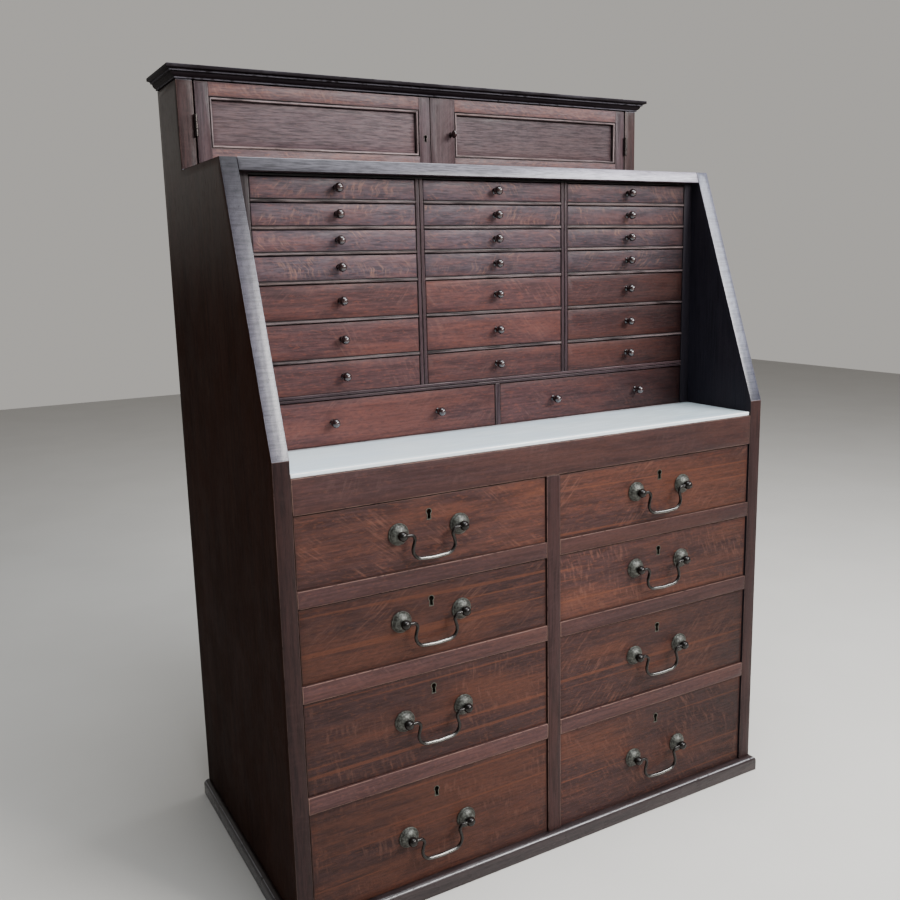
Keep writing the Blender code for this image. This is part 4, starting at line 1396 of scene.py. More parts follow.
@dataclass
class ChestFrame(Assembly):
    """The muntin, the rails with their dust boards, the apron and the carcass top."""

    rail_depth: float = 0.040
    dust_board: float = 0.009
    bevel: float = 0.0009
    # Painted shade on the apron and the rails, darker towards the right
    apron_painted_light: Slant = Slant(0.68, -0.33)
    rail_painted_lights: tuple[float, ...] = (0.76, 0.72, 0.98)
    rail_slant: float = -0.54

    def build(self) -> Iterator[Stock]:
        """Give the frame's pieces.

        Yields:
            The muntin, the rails, the apron and the carcass top.
        """
        muntin_low, muntin_high = corners_of("centre_muntin")
        yield self.single("centre_muntin", Grain.UP_FRONT, Finish.STILE)
        for number, age in enumerate(self.rail_painted_lights, 1):
            node = f"drawer_rail_{number}"
            low, high = corners_of(node)
            stock = Stock(f"{node}_boards", "case", Slot.FRAME, [node])
            inner = low.y + self.rail_depth
            lengths = ((low.x, muntin_low.x - SEAT_GAP), (muntin_high.x + SEAT_GAP, high.x))
            for left, right in lengths:
                rail_low, rail_high = (left, low.y, low.z), (right, inner, high.z)
                stock.board(rail_low, rail_high, Grain.RIGHT_FRONT, Finish.RAIL, self.bevel,
                            painted_light_of=Slant(age, self.rail_slant))
            start = (low.x, inner, high.z - self.dust_board)
            stock.board(start, high, Grain.RIGHT_TOP, Finish.INSIDE, self.bevel)
            yield stock
        yield self.single("apron_rail", Grain.RIGHT_FRONT, Finish.RAIL, self.apron_painted_light)
        yield self.single("carcass_top", Grain.RIGHT_TOP, Finish.INSIDE)

    def single(self, node: str, grain: Grain, finish: Finish, painted_light_of: PaintedLight = EVEN_LIGHT) -> Stock:
        """Make a piece of one board.

        Args:
            node: The CAD node that it stands for.
            grain: How its grain runs.
            finish: Its finish.
            painted_light_of: Gives the painted light at a point.

        Returns:
            The piece.
        """
        stock = Stock(f"{node}_board", "case", Slot.FRAME, [node])
        stock.board(*corners_of(node), grain, finish, self.bevel, painted_light_of=painted_light_of)
        return stock


@dataclass
class Worktop(Assembly):
    """The glass slab, chipped at the left of its front edge."""

    bevel: float = 0.0009
    chip_places: tuple[float, ...] = (0.0020, 0.0110, 0.0240, 0.0610, 0.1180)
    chip_radii: tuple[float, ...] = (0.0060, 0.0045, 0.0070, 0.0040, 0.0035)
    chip_forward: float = 0.75
    chip_upward: float = 0.40
    chip_detail: int = 2
    # Painted shade on the slab, darker towards the right
    painted_light_of: Slant = Slant(0.98, -0.22)

    def build(self) -> Iterator[Stock]:
        """Give the slab.

        Yields:
            The slab.
        """
        low, high = corners_of("worktop_slab")
        chips = []
        for along, radius in zip(self.chip_places, self.chip_radii):
            forward, upward = radius * self.chip_forward, radius * self.chip_upward
            place = Vector((low.x + along, low.y - forward, high.z + upward))
            chip = bmesh.new()
            bmesh.ops.create_icosphere(chip, subdivisions=self.chip_detail, radius=radius)
            bmesh.ops.translate(chip, vec=place, verts=chip.verts)
            chips.append(chip)
        stock = Stock("worktop_slab_glass", "case", Slot.GLASS, ["worktop_slab"])
        stock.board(low, high, Grain.RIGHT_TOP, Finish.GLASS, self.bevel, chips, self.painted_light_of)
        yield stock


# Nest of small drawers
@dataclass
class NestFrame(Assembly):
    """The pigeonholes that hold the small drawers, and the sloping board above them."""

    row_count: int = NEST_ROWS
    column_count: int = NEST_COLUMNS
    side_gap: float = 0.001
    top_gap: float = NEST_TOP_GAP
    slope_run: float = SLOPE_RUN
    bevel: float = 0.0006
    lip_bevel: float = 0.0014
    lip_depth: float = 0.0040
    # Painted light: lip_fade darkens each lip towards its top, the rim brightens towards the right for its
    # painted sheen, and the left upright and the roof are darkened for painted shade
    lip_fade: float = -150.0
    groove: float = 0.0010
    rim_painted_light: Slant = Slant(0.42, 0.62, 0.0, 0.005, -2.4)
    rim_places: tuple[float, ...] = (0.005, 0.20)
    upright_painted_light: Slant = Slant(0.50)
    roof_painted_light: Slant = Slant(0.12)

    def build(self) -> Iterator[Stock]:
        """Give the frame and the top board.

        Yields:
            The frame, and then the top board.
        """
        low, high = corners_of("nest_frame")
        stock = Stock("nest_frame_boards", "case", Slot.FRAME, ["nest_frame"])
        rows = range(1, self.row_count + 1)
        columns = range(1, self.column_count + 1)
        cells = {}
        for row in rows:
            for column in columns:
                cells[row, column] = self.cell(f"small_drawer_{row}_{column}")
        wide_left, wide_right = self.cell("wide_drawer_left"), self.cell("wide_drawer_right")
        left, right = wide_left[0].x, wide_right[1].x
        bottom, shelf = wide_left[0].z, wide_left[1].z
        rows_low, rows_high = cells[self.row_count, 1][0].z, cells[1, 1][1].z
        plain = [
            (low.x, left, low.z, high.z, Grain.UP_FRONT, Finish.NEST, self.upright_painted_light),
            (right, high.x, low.z, high.z, Grain.UP_FRONT, Finish.PAINTED_SHADE_CHEEK, EVEN_LIGHT),
            (left, right, low.z, bottom, Grain.RIGHT_FRONT, Finish.NEST, EVEN_LIGHT),
            (left, right, rows_high, high.z, Grain.RIGHT_FRONT, Finish.NEST, self.roof_painted_light),
            (wide_left[1].x, wide_right[0].x, bottom, shelf, Grain.UP_FRONT, Finish.NEST, EVEN_LIGHT),
        ]
        for start, end, floor, roof, grain, finish, painted_light_of in plain:
            board_low, board_high = (start, low.y, floor), (end, high.y, roof)
            stock.board(board_low, board_high, grain, finish, self.bevel, painted_light_of=painted_light_of)
        for column in columns[:-1]:
            start = Vector((cells[1, column][1].x, low.y, rows_low))
            end = Vector((cells[1, column + 1][0].x, high.y, rows_high))
            self.grooved(stock, start, end, Grain.UP_FRONT)
        start, end = Vector((left, low.y, shelf)), Vector((right, high.y, rows_low))
        self.grooved(stock, start, end, Grain.RIGHT_FRONT)
        for row in rows[:-1]:
            for column in columns:
                above, below = cells[row, column], cells[row + 1, column]
                start, end = (above[0].x, low.y, below[1].z), (above[1].x, high.y, above[0].z)
                # Painted shadow under the drawer above: the lip darkens towards its top
                painted_light_of = Slant(1.0 - self.lip_fade * below[1].z, 0.0, self.lip_fade)
                stock.board(start, end, Grain.RIGHT_FRONT, Finish.PAINTED_HIGHLIGHT_LIP, self.lip_bevel, painted_light_of=painted_light_of)
        yield stock
        yield self.top_board()

    def grooved(self, stock: Stock, low: Vector, high: Vector, grain: Grain) -> None:
        """Add a divider with two beads along its front edge and a groove between them.

        Args:
            stock: The piece to add it to.
            low: Its lowest corner.
            high: Its highest corner.
            grain: How its grain runs, which is also how the groove runs.
        """
        inner = low.y + self.lip_depth
        stock.board((low.x, inner, low.z), high, grain, Finish.NEST, self.bevel)
        axis = grain.value[1]
        middle = (low[axis] + high[axis]) / 2
        first_end, second_start = Vector((high.x, inner, high.z)), low.copy()
        first_end[axis], second_start[axis] = middle - self.groove / 2, middle + self.groove / 2
        for start, end in ((low, first_end), (second_start, Vector((high.x, inner, high.z)))):
            stock.board(start, end, grain, Finish.NEST, self.lip_bevel)

    def cell(self, drawer: str) -> tuple[Vector, Vector]:
        """Return the lowest and highest corner of the opening that a drawer runs in."""
        low, high = corners_of(drawer)
        return low - Vector((self.side_gap, 0.0, SEAT_GAP)), high + Vector((self.side_gap, 0.0, self.top_gap))

    def top_board(self) -> Stock:
        """Make the board above the nest, with its sloping front edge.

        Returns:
            The piece.
        """
        low, high = corners_of("nest_top")
        slope_top = corners_of("side_left")[0].y + self.slope_run
        outline = [(low.y, low.z), (slope_top, high.z), (high.y, high.z), (high.y, low.z)]
        stock = Stock("nest_top_board", "case", Slot.PALE, ["nest_top"])
        cuts = [RIGHT * place for place in self.rim_places]
        painted_light_of = partial(self.painted_light_of, slope_top)
        stock.prism(outline, low.x, high.x, Grain.RIGHT_FRONT, self.finish_of, painted_light_of=painted_light_of, cuts=cuts)
        return stock

    def painted_light_of(self, slope_top: float, point: Vector) -> float:
        """Return the painted light at a point of the top board, which changes along its sloping front alone.
        """
        return self.rim_painted_light(point) if point.y < slope_top else 1.0

    @staticmethod
    def finish_of(normal: Vector) -> Finish:
        """Return the finish of the top board's face: its sloping front or the rest."""
        return Finish.RIM_SHEEN if normal.y < -FACING else Finish.NEST


# Drawers
@dataclass(frozen=True)
class Keyhole:
    """A keyhole: a round head with a slot that widens below it, and a thin rim let into the wood."""

    radius: float = 0.0040
    slot_top: float = 0.0046
    slot_foot: float = 0.0056
    length: float = 0.0115
    depth: float = 0.0090
    rim: float = 0.0010
    proud: float = 0.0004
    steps: int = 16
    finish: Finish = Finish.KEY_RIM
    outer_edge: float = 0.004
    inner_edge: float = 0.002

    def outline(self, place: Vector, swell: float) -> list[Vector]:
        """Draw the keyhole's outline.

        Args:
            place: The middle of its head.
            swell: How much larger it is all round.

        Returns:
            The outline's points.
        """
        radius = self.radius + swell
        half_top, half_foot = self.slot_top / 2 + swell, self.slot_foot / 2 + swell
        start = math.asin(half_top / radius) - math.pi / 2
        sweep = math.tau - 2.0 * math.asin(half_top / radius)
        turns = [start + sweep * step / self.steps for step in range(self.steps + 1)]
        flat = [(radius * math.cos(turn), radius * math.sin(turn)) for turn in turns]
        flat += [(-half_foot, -self.length - swell), (half_foot, -self.length - swell)]
        return [place + RIGHT * across + UP * rise for across, rise in flat]

    def cutter(self, place: Vector) -> Shape:
        """Return the shape to cut from the front, with room for the rim."""
        start = self.outline(place - BACKWARD * self.depth, self.rim)
        return prism_shape(start, BACKWARD * (2.0 * self.depth))

    def add_rim(self, stock: Stock, place: Vector) -> None:
        """Add the keyhole's rim.

        Args:
            stock: The piece to add it to.
            place: The middle of the keyhole's head, on the front.
        """
        face, root = place - BACKWARD * self.proud, place + BACKWARD * (self.depth - self.proud)
        loops = [
            self.outline(root, self.rim),
            self.outline(face, self.rim),
            self.outline(face, 0.0),
            self.outline(root, 0.0),
        ]
        marks = (EDGE_REACH, self.outer_edge, self.inner_edge, EDGE_REACH)
        edges = [mark for loop, mark in zip(loops, marks) for _ in loop]
        stock.loft(loops, edges, Grain.RIGHT_FRONT, self.finish, True)


@dataclass(frozen=True)
class Knob:
    """A turned knob: radius, reach and distance from the rubbed crown of each ring, from crown to foot."""

    steps: int = 28
    oval: float = 1.0
    profile: tuple[Point, ...] = (
        (0.0006, 0.0200, 0.0),
        (0.0026, 0.0195, 0.0005),
        (0.0047, 0.0182, 0.0015),
        (0.0062, 0.0163, 0.0030),
        (0.0070, 0.0142, 0.0050),
        (0.0072, 0.0127, 0.0070),
        (0.0069, 0.0110, 0.0100),
        (0.0060, 0.0094, EDGE_REACH),
        (0.0048, 0.0080, EDGE_REACH),
        (0.0038, 0.0066, EDGE_REACH),
        (0.0033, 0.0050, EDGE_REACH),
        (0.0034, 0.0030, EDGE_REACH),
        (0.0044, 0.0018, EDGE_REACH),
        (0.0050, 0.0010, EDGE_REACH),
        (0.0048, 0.0001, EDGE_REACH),
    )

    def add(self, stock: Stock, place: Vector) -> None:
        """Add the knob to a piece, at a place on a front."""
        stock.turned(place, self.profile, -BACKWARD, self.steps, Finish.EBONY, self.oval)


@dataclass
class Drawer(Assembly):
    """A drawer box with a thick front."""

    node: str
    reach: float
    front_thickness: float
    wall: float
    floor: float
    finish: Finish
    bevel: float = 0.0008
    painted_light_of: Slant = EVEN_LIGHT

    def front_corners(self) -> tuple[Vector, Vector]:
        """Return the corners of the drawer without what stands out from its front."""
        low, high = corners_of(self.node)
        return low + BACKWARD * self.reach, high

    def box(self, holes: Sequence[Shape] = ()) -> Stock:
        """Make the drawer's boards one piece.

        Args:
            holes: Shapes to cut from its front.

        Returns:
            The piece.
        """
        low, high = self.front_corners()
        inner, rear = low.y + self.front_thickness, high.y - self.wall
        left, right = low.x + self.wall, high.x - self.wall
        stock = Stock(f"{self.node}_boards", self.node, Slot.DRAWER, [self.node])
        # The front is divided where its painted shade begins to fall
        front_high, cuts = (high.x, inner, high.z), [RIGHT * self.painted_light_of.bend]
        stock.board(low, front_high, Grain.RIGHT_FRONT, self.finish, self.bevel, holes, self.painted_light_of, cuts)
        walls = (
            ((low.x, inner, low.z), (left, high.y, high.z), Grain.BACK_SIDE),
            ((right, inner, low.z), high, Grain.BACK_SIDE),
            ((left, rear, low.z), (right, high.y, high.z), Grain.RIGHT_FRONT),
            ((left, inner, low.z), (right, rear, low.z + self.floor), Grain.BACK_TOP),
        )
        for start, end, grain in walls:
            stock.board(start, end, grain, Finish.INSIDE)
        return stock


@dataclass
class KnobDrawer(Drawer):
    """A drawer of the nest, with one knob or two."""

    knob_spread: tuple[float, ...] = (0.0,)
    top_gap: float = NEST_TOP_GAP
    knob: Knob = field(default_factory=Knob)

    def build(self) -> Iterator[Stock]:
        """Give the drawer's pieces.

        Yields:
            Its boards, and then its knobs.
        """
        yield self.box()
        low, high = self.front_corners()
        level = (low.z - SEAT_GAP + high.z + self.top_gap) / 2
        stock = Stock(f"{self.node}_knobs", self.node, Slot.EBONY)
        for offset in self.knob_spread:
            self.knob.add(stock, Vector(((low.x + high.x) / 2 + offset, low.y, level)))
        yield stock


@dataclass
class HandleDrawer(Drawer):
    """A big drawer with a keyhole, two rosettes and the bail that hangs from them."""

    bail: str = ""
    top_gap: float = 0.002
    key_drop: float = 0.0250
    post_spacing: float = 0.102
    bail_radius: float = 0.0026
    arm_radius: float = 0.0025
    grip_radius: float = 0.0030
    bail_drop: float = 0.039
    arm_top: float = 0.029
    corner: float = 0.0398
    corner_drop: float = 0.0365
    post_ball: float = 0.0055
    grip_depth: float = 0.0035
    rub_reach: float = 0.0060
    bends: tuple[float, ...] = (0.0075, 0.015, 0.090, 0.015, 0.0075)
    bend_steps: int = 10
    post_steps: int = 40
    bail_steps: int = 16
    keyhole: Keyhole = field(default_factory=Keyhole)
    ball_profile: tuple[Point, ...] = (
        (0.0006, 0.0225, 0.0050),
        (0.0030, 0.0220, 0.0055),
        (0.0053, 0.0206, 0.0060),
        (0.0069, 0.0182, 0.0080),
        (0.0075, 0.0152, EDGE_REACH),
        (0.0069, 0.0122, EDGE_REACH),
        (0.0054, 0.0104, EDGE_REACH),
        (0.0046, 0.0094, EDGE_REACH),
        (0.0046, 0.0080, EDGE_REACH),
    )
    rosette_profile: tuple[Point, ...] = (
        (0.0030, 0.0101, 0.0080),
        (0.0042, 0.0101, 0.0060),
        (0.0060, 0.0096, 0.0050),
        (0.0082, 0.0087, 0.0045),
        (0.0104, 0.0074, 0.0045),
        (0.0124, 0.0058, 0.0050),
        (0.0138, 0.0040, 0.0070),
        (0.0145, 0.0027, EDGE_REACH),
        (0.0147, 0.0020, EDGE_REACH),
        (0.0151, 0.0025, 0.0045),
        (0.0158, 0.0024, 0.0040),
        (0.0163, 0.0018, 0.0050),
        (0.0165, 0.0009, 0.0080),
        (0.0164, 0.0, EDGE_REACH),
    )

    def build(self) -> Iterator[Stock]:
        """Give the drawer's pieces.

        Yields:
            Its boards, its fittings and its bail.
        """
        low, high = self.front_corners()
        bail_low, bail_high = corners_of(self.bail)
        middle = (bail_low.x + bail_high.x) / 2
        key_place = Vector((middle, low.y, high.z + self.top_gap - self.key_drop))
        yield self.box([self.keyhole.cutter(key_place)])
        fittings = Stock(f"{self.node}_fittings", self.node, Slot.BRASS)
        self.keyhole.add_rim(fittings, key_place)
        level = bail_high.z - self.bail_radius
        for side in (-1.0, 1.0):
            place = Vector((middle + side * self.post_spacing / 2, low.y, level))
            fittings.turned(place, self.ball_profile, -BACKWARD, self.post_steps, Finish.BRONZE)
            fittings.turned(place, self.rosette_profile, -BACKWARD, self.post_steps, Finish.ROSETTE)
        yield fittings
        yield self.hanging_bail(Vector((middle, (bail_low.y + bail_high.y) / 2, level)))

    def hanging_bail(self, pivot: Vector) -> Stock:
        """Make the bail, thicker and rubbed bright along its grip.

        Args:
            pivot: The middle of the line that it swings about.

        Returns:
            The piece.
        """
        stock = Stock(f"{self.bail}_casting", self.bail, Slot.BRASS, [self.bail])
        path = self.bail_path()
        turns = [math.tau * step / self.bail_steps for step in range(self.bail_steps)]
        loops, edges = [], []
        for number, point in enumerate(path):
            before, after = path[max(number - 1, 0)], path[min(number + 1, len(path) - 1)]
            along = (after - before).normalized()
            across = along.cross(BACKWARD)
            lowness = clamp(-2.0 * point.z / self.bail_drop - 1.0)
            share = lowness * max(0.0, 1.0 - (point.x / self.corner) ** 2)
            radius = self.arm_radius + (self.grip_radius - self.arm_radius) * share
            edges.extend([self.rub_reach * (1.0 - share)] * self.bail_steps)
            ring = [BACKWARD * math.cos(turn) + across * math.sin(turn) for turn in turns]
            loops.append([pivot + point + way * radius for way in ring])
        stock.loft(loops, edges, Grain.RIGHT_FRONT, Finish.BRONZE)
        return stock

    def bail_path(self) -> list[Vector]:
        """Work out the bail's path from one post to the other.

        Returns:
            The path's points, about the middle of the bail's pivot.
        """
        end = self.post_spacing / 2 - self.post_ball + self.grip_depth
        half = [(end, 0.0), (self.arm_top, 0.0), (self.corner, -self.corner_drop)]
        flat = half + [(0.0, -self.bail_drop)] + [(-x, z) for x, z in reversed(half)]
        corners = [Vector((x, 0.0, z)) for x, z in flat]
        path = [corners[0]]
        for before, corner, after, radius in zip(corners, corners[1:], corners[2:], self.bends):
            inward, outward = (before - corner).normalized(), (after - corner).normalized()
            half_angle = inward.angle(outward) / 2
            centre = corner + (inward + outward).normalized() * (radius / math.sin(half_angle))
            start = (corner + inward * (radius / math.tan(half_angle)) - centre).normalized()
            finish = (corner + outward * (radius / math.tan(half_angle)) - centre).normalized()
            for step in range(self.bend_steps + 1):
                path.append(centre + radius * start.slerp(finish, step / self.bend_steps))
        path.append(corners[-1])
        return path


@dataclass
class NestDrawers(Assembly):
    """All the drawers of the nest."""

    row_count: int = NEST_ROWS
    column_count: int = NEST_COLUMNS
    reach: float = 0.0155
    front_thickness: float = 0.014
    wall: float = 0.008
    floor: float = 0.005
    wide_spacing: float = 0.186
    bevel: float = 0.0012
    plain_row: int = 5
    # Painted shade: the fronts darken towards the right and, for the small ones, towards the bottom, falling
    # off fast near the right side
    flecked_painted_light: Slant = Slant(0.10, -0.70, 0.76, 0.32, 2.6)
    plain_painted_light: Slant = Slant(0.22, -0.05, 0.60, 0.06, 1.5)
    wide_painted_light: Slant = Slant(0.66, -0.75, 0.0, 0.10, 0.6)

    def build(self) -> Iterator[Stock]:
        """Give the pieces of each drawer.

        Yields:
            The pieces, drawer by drawer.
        """
        sizes = (self.reach, self.front_thickness, self.wall, self.floor)
        for row in range(1, self.row_count + 1):
            for column in range(1, self.column_count + 1):
                node = f"small_drawer_{row}_{column}"
                flecked = row < self.plain_row
                finish = Finish.FLECKED if flecked else Finish.WIDE_FRONT
                painted_light_of = self.flecked_painted_light if flecked else self.plain_painted_light
                yield from KnobDrawer(node, *sizes, finish, self.bevel, painted_light_of).build()
        spread = (-self.wide_spacing / 2, self.wide_spacing / 2)
        for side in ("left", "right"):
            node = f"wide_drawer_{side}"
            drawer = KnobDrawer(node, *sizes, Finish.WIDE_FRONT, self.bevel, self.wide_painted_light, spread)
            yield from drawer.build()


@dataclass
class ChestDrawers(Assembly):
    """All the big drawers of the chest."""

    row_count: int = 4
    reach: float = 0.0205
    front_thickness: float = 0.020
    wall: float = 0.012
    floor: float = 0.008
    # Painted shade: the fronts darken row by row downwards, the left column towards the left and the right
    # column towards the right
    top_painted_lights: Pair = (0.80, 0.98)
    row_fades: Pair = (0.065, 0.085)
    slants: Pair = (0.30, -0.80)

    def build(self) -> Iterator[Stock]:
        """Give the pieces of each drawer.

        Yields:
            The pieces, drawer by drawer.
        """
        sizes = (self.reach, self.front_thickness, self.wall, self.floor)
        for side, age, fade, slant in zip(("left", "right"), self.top_painted_lights, self.row_fades, self.slants):
            for row in range(1, self.row_count + 1):
                node, bail = f"big_drawer_{side}_{row}", f"bail_{side}_{row}"
                painted_light_of = Slant(age - fade * (row - 1), slant)
                drawer = HandleDrawer(node, *sizes, Finish.BIG_FRONT, painted_light_of=painted_light_of, bail=bail)
                yield from drawer.build()


# Cupboard
@dataclass
class Doors(Assembly):
    """The two framed doors, with their panels, knob and keyhole."""

    thickness: float = 0.019
    outer_stile: float = 0.0215
    bottom_rail: float = 0.0335
    top_rail: float = 0.0215
    left_meeting: float = 0.0217
    right_meeting: float = 0.0490
    bead: float = 0.0062
    panel_recess: float = 0.0070
    panel_thickness: float = 0.0060
    panel_tongue: float = 0.0030
    key_inset: float = 0.00975
    bevel: float = 0.0007
    keyhole: Keyhole = Keyhole(0.0030, 0.0034, 0.0042, 0.0086, rim=0.0007, finish=Finish.HINGE)
    # Painted light on the panels: the left panel darkens towards the left, the right panel towards the right
    left_painted_light: Slant = Slant(1.0, 0.30)
    right_painted_light: Slant = Slant(0.90, -0.66)
    knob: Knob = Knob(oval=0.62)
    # Points marked 0 take the painted shade in the bead's quirks, and the crown's larger marks keep its
    # painted highlight
    bead_profile: tuple[Point, ...] = (
        (0.0, 0.0002, 0.0),
        (0.0002, 0.0024, 0.0),
        (0.0016, 0.0024, 0.0),
        (0.0018, 0.0010, 0.0012),
        (0.0024, 0.0004, 0.0050),
        (0.0036, 0.0004, 0.0060),
        (0.0045, 0.0010, 0.0040),
        (0.0049, 0.0022, 0.0012),
        (0.0051, 0.0040, 0.0),
        (0.0061, 0.0052, 0.0),
        (0.0063, 0.0074, 0.0),
        (0.0, 0.0078, EDGE_REACH),
    )

    def build(self) -> Iterator[Stock]:
        """Give the doors' pieces.

        Yields:
            The left door and the rim of its keyhole, and then the right door and its knob.
        """
        low, high = corners_of("door_left")
        key_place = Vector((high.x - self.key_inset, low.y, (low.z + high.z) / 2))
        holes = [self.keyhole.cutter(key_place)]
        yield self.door("door_left", self.outer_stile, self.left_meeting, holes, self.left_painted_light)
        rim = Stock("door_left_key_rim", "door_left", Slot.BRASS)
        self.keyhole.add_rim(rim, key_place)
        yield rim
        yield self.door("door_right", self.right_meeting, self.outer_stile, [], self.right_painted_light)
        knob_low, knob_high = corners_of("door_knob")
        knob = Stock("door_knob_turning", "door_right", Slot.EBONY, ["door_knob"])
        middle = (knob_low + knob_high) / 2
        self.knob.add(knob, Vector((middle.x, low.y, middle.z)))
        yield knob

    def door(self, node: str, left_stile: float, right_stile: float,
             holes: Sequence[Shape], painted_light_of: PaintedLight) -> Stock:
        """Return a door.

        Args:
            node: The CAD node that it stands for, and its body.
            left_stile: The width of its left stile.
            right_stile: The width of its right stile.
            holes: Shapes to cut from its right stile.
            painted_light_of: Gives the painted light at a point of its panel.

        Returns:
            The door as one piece.
        """
        low, high = corners_of(node)
        back = low.y + self.thickness
        left, right = low.x + left_stile, high.x - right_stile
        bottom, top = low.z + self.bottom_rail, high.z - self.top_rail
        stock = Stock(f"{node}_frame", node, Slot.FRAME, [node])
        stock.board(low, (left, back, high.z), Grain.UP_FRONT, Finish.DOOR, self.bevel)
        stile_low, stile_high = (right, low.y, low.z), (high.x, back, high.z)
        stock.board(stile_low, stile_high, Grain.UP_FRONT, Finish.DOOR, self.bevel, holes)
        for floor, roof in ((low.z, bottom), (top, high.z)):
            rail_low, rail_high = (left, low.y, floor), (right, back, roof)
            stock.board(rail_low, rail_high, Grain.RIGHT_FRONT, Finish.DOOR_RAIL, self.bevel)
        reach = self.bead - self.panel_tongue
        face = low.y + self.panel_recess
        panel_low = (left + reach, face, bottom + reach)
        panel_high = (right - reach, face + self.panel_thickness, top - reach)
        stock.board(panel_low, panel_high, Grain.RIGHT_FRONT, Finish.PANEL, self.bevel, painted_light_of=painted_light_of)
        places = ((left, bottom), (right, bottom), (right, top), (left, top))
        corners = [Vector((x, low.y, z)) for x, z in places]
        leans = [RIGHT + UP, -RIGHT + UP, -RIGHT - UP, RIGHT - UP]
        for number, (corner, lean) in enumerate(zip(corners, leans)):
            after = (number + 1) % len(corners)
            grain = Grain.UP_FRONT if number % 2 else Grain.RIGHT_FRONT
            ends, ways = (corner, corners[after]), (lean, leans[after])
            stock.moulding(ends, ways, BACKWARD, self.bead_profile, grain, Finish.PAINTED_HIGHLIGHT_LIP)
        return stock


@dataclass
class Hinges(Assembly):
    """The butt hinges of the doors."""

    knuckle_radius: float = 0.0030
    leaf: float = 0.0008
    leaf_gap: float = 0.0004
    knuckle_count: int = 3
    knuckle_bevel: float = 0.0004
    barrel_edge: float = 0.002
    end_edge: float = 0.003
    eye_share: float = 0.25
    leaf_bevel: float = 0.0002
    steps: int = 24

    def build(self) -> Iterator[Stock]:
        """Give the leaves of both hinges.

        Yields:
            The leaf on the case and the leaf on the door, left and then right.
        """
        for side, outward in (("left", -1.0), ("right", 1.0)):
            yield self.half(f"hinge_case_{side}", "case", outward, (0, self.knuckle_count - 1))
            yield self.half(f"hinge_door_{side}", f"door_{side}", -outward, (1,))

    def half(self, node: str, body: str, way: float, numbers: Sequence[int]) -> Stock:
        """Return one half of a hinge.

        Args:
            node: The CAD node that it stands for.
            body: The body that it rides on.
            way: 1 where its leaf lies to the right of the pin, -1 to the left.
            numbers: Which of the knuckles it has, from the lowest up.

        Returns:
            The leaf with its knuckles.
        """
        low, high = corners_of(node)
        hinge_low, hinge_high = corners_of(node.replace("door", "case"))
        axis = Vector(((hinge_low.x + hinge_high.x) / 2, hinge_low.y + self.knuckle_radius, 0.0))
        height = (hinge_high.z - hinge_low.z - (self.knuckle_count - 1) * SEAT_GAP) / self.knuckle_count
        near, far = axis.x + way * self.leaf_gap / 2, axis.x + way * (self.leaf_gap / 2 + self.leaf)
        stock = Stock(f"{node}_leaf", body, Slot.BRASS, [node])
        start = axis.y + self.knuckle_radius + SEAT_GAP
        leaf_low = (min(near, far), start, low.z)
        leaf_high = (max(near, far), high.y, high.z)
        stock.board(leaf_low, leaf_high, Grain.UP_SIDE, Finish.HINGE, self.leaf_bevel)
        for number in numbers:
            foot = hinge_low.z + number * (height + SEAT_GAP)
            tab_low = (min(near, far), axis.y, foot)
            tab_high = (max(near, far), start + self.leaf, foot + height)
            stock.board(tab_low, tab_high, Grain.UP_SIDE, Finish.HINGE, self.leaf_bevel)
            place = Vector((axis.x, axis.y, foot))
            stock.turned(place, self.knuckle(height), UP, self.steps, Finish.HINGE)
        return stock

    def knuckle(self, height: float) -> list[Point]:
        """Work out the profile of a knuckle.

        Args:
            height: The knuckle's height.

        Returns:
            Radius, height and distance from a worn edge of each ring.
        """
        radius, bevel = self.knuckle_radius, self.knuckle_bevel
        eye = radius * self.eye_share
        return [
            (eye, 0.0, EDGE_REACH),
            (radius - bevel, 0.0, self.end_edge),
            (radius, bevel, self.barrel_edge),
            (radius, height - bevel, self.barrel_edge),
            (radius - bevel, height, self.end_edge),
            (eye, height, EDGE_REACH),
        ]


@dataclass
class Cornice(MouldedBoard):
    """The cornice moulding on three sides of the top, and the board inside it."""

    node: str = "cornice"
    piece: str = "cornice_moulding"
    slot: Slot = Slot.DARK
    finish: Finish = Finish.CORNICE
    board_finish: Finish = Finish.CORNICE
    overhang: float = 0.0162
    inner: float = 0.030
    board_drop: float = 0.0012
    # Points marked 0 carry the cornice's painted highlight lines
    section: tuple[Point, ...] = (
        (-0.0300, 0.0, EDGE_REACH),
        (0.0020, 0.0, 0.0030),
        (0.0024, 0.0005, 0.0),
        (0.0024, 0.0024, 0.0010),
        (0.0030, 0.0028, EDGE_REACH),
        (0.0046, 0.0036, EDGE_REACH),
        (0.0060, 0.0050, EDGE_REACH),
        (0.0070, 0.0070, EDGE_REACH),
        (0.0076, 0.0094, EDGE_REACH),
        (0.0100, 0.0098, 0.0030),
        (0.0106, 0.0102, 0.0),
        (0.0106, 0.0122, 0.0010),
        (0.0114, 0.0126, EDGE_REACH),
        (0.0140, 0.0134, EDGE_REACH),
        (0.0160, 0.0139, 0.0060),
        (0.0162, 0.0143, 0.0020),
        (0.0162, 0.0183, 0.0018),
        (0.0157, 0.0191, 0.0),
        (0.0148, 0.0194, 0.0010),
        (-0.0300, 0.0194, EDGE_REACH),
    )

    def profile(self) -> tuple[Point, ...]:
        """Return the cornice's section."""
        return self.section


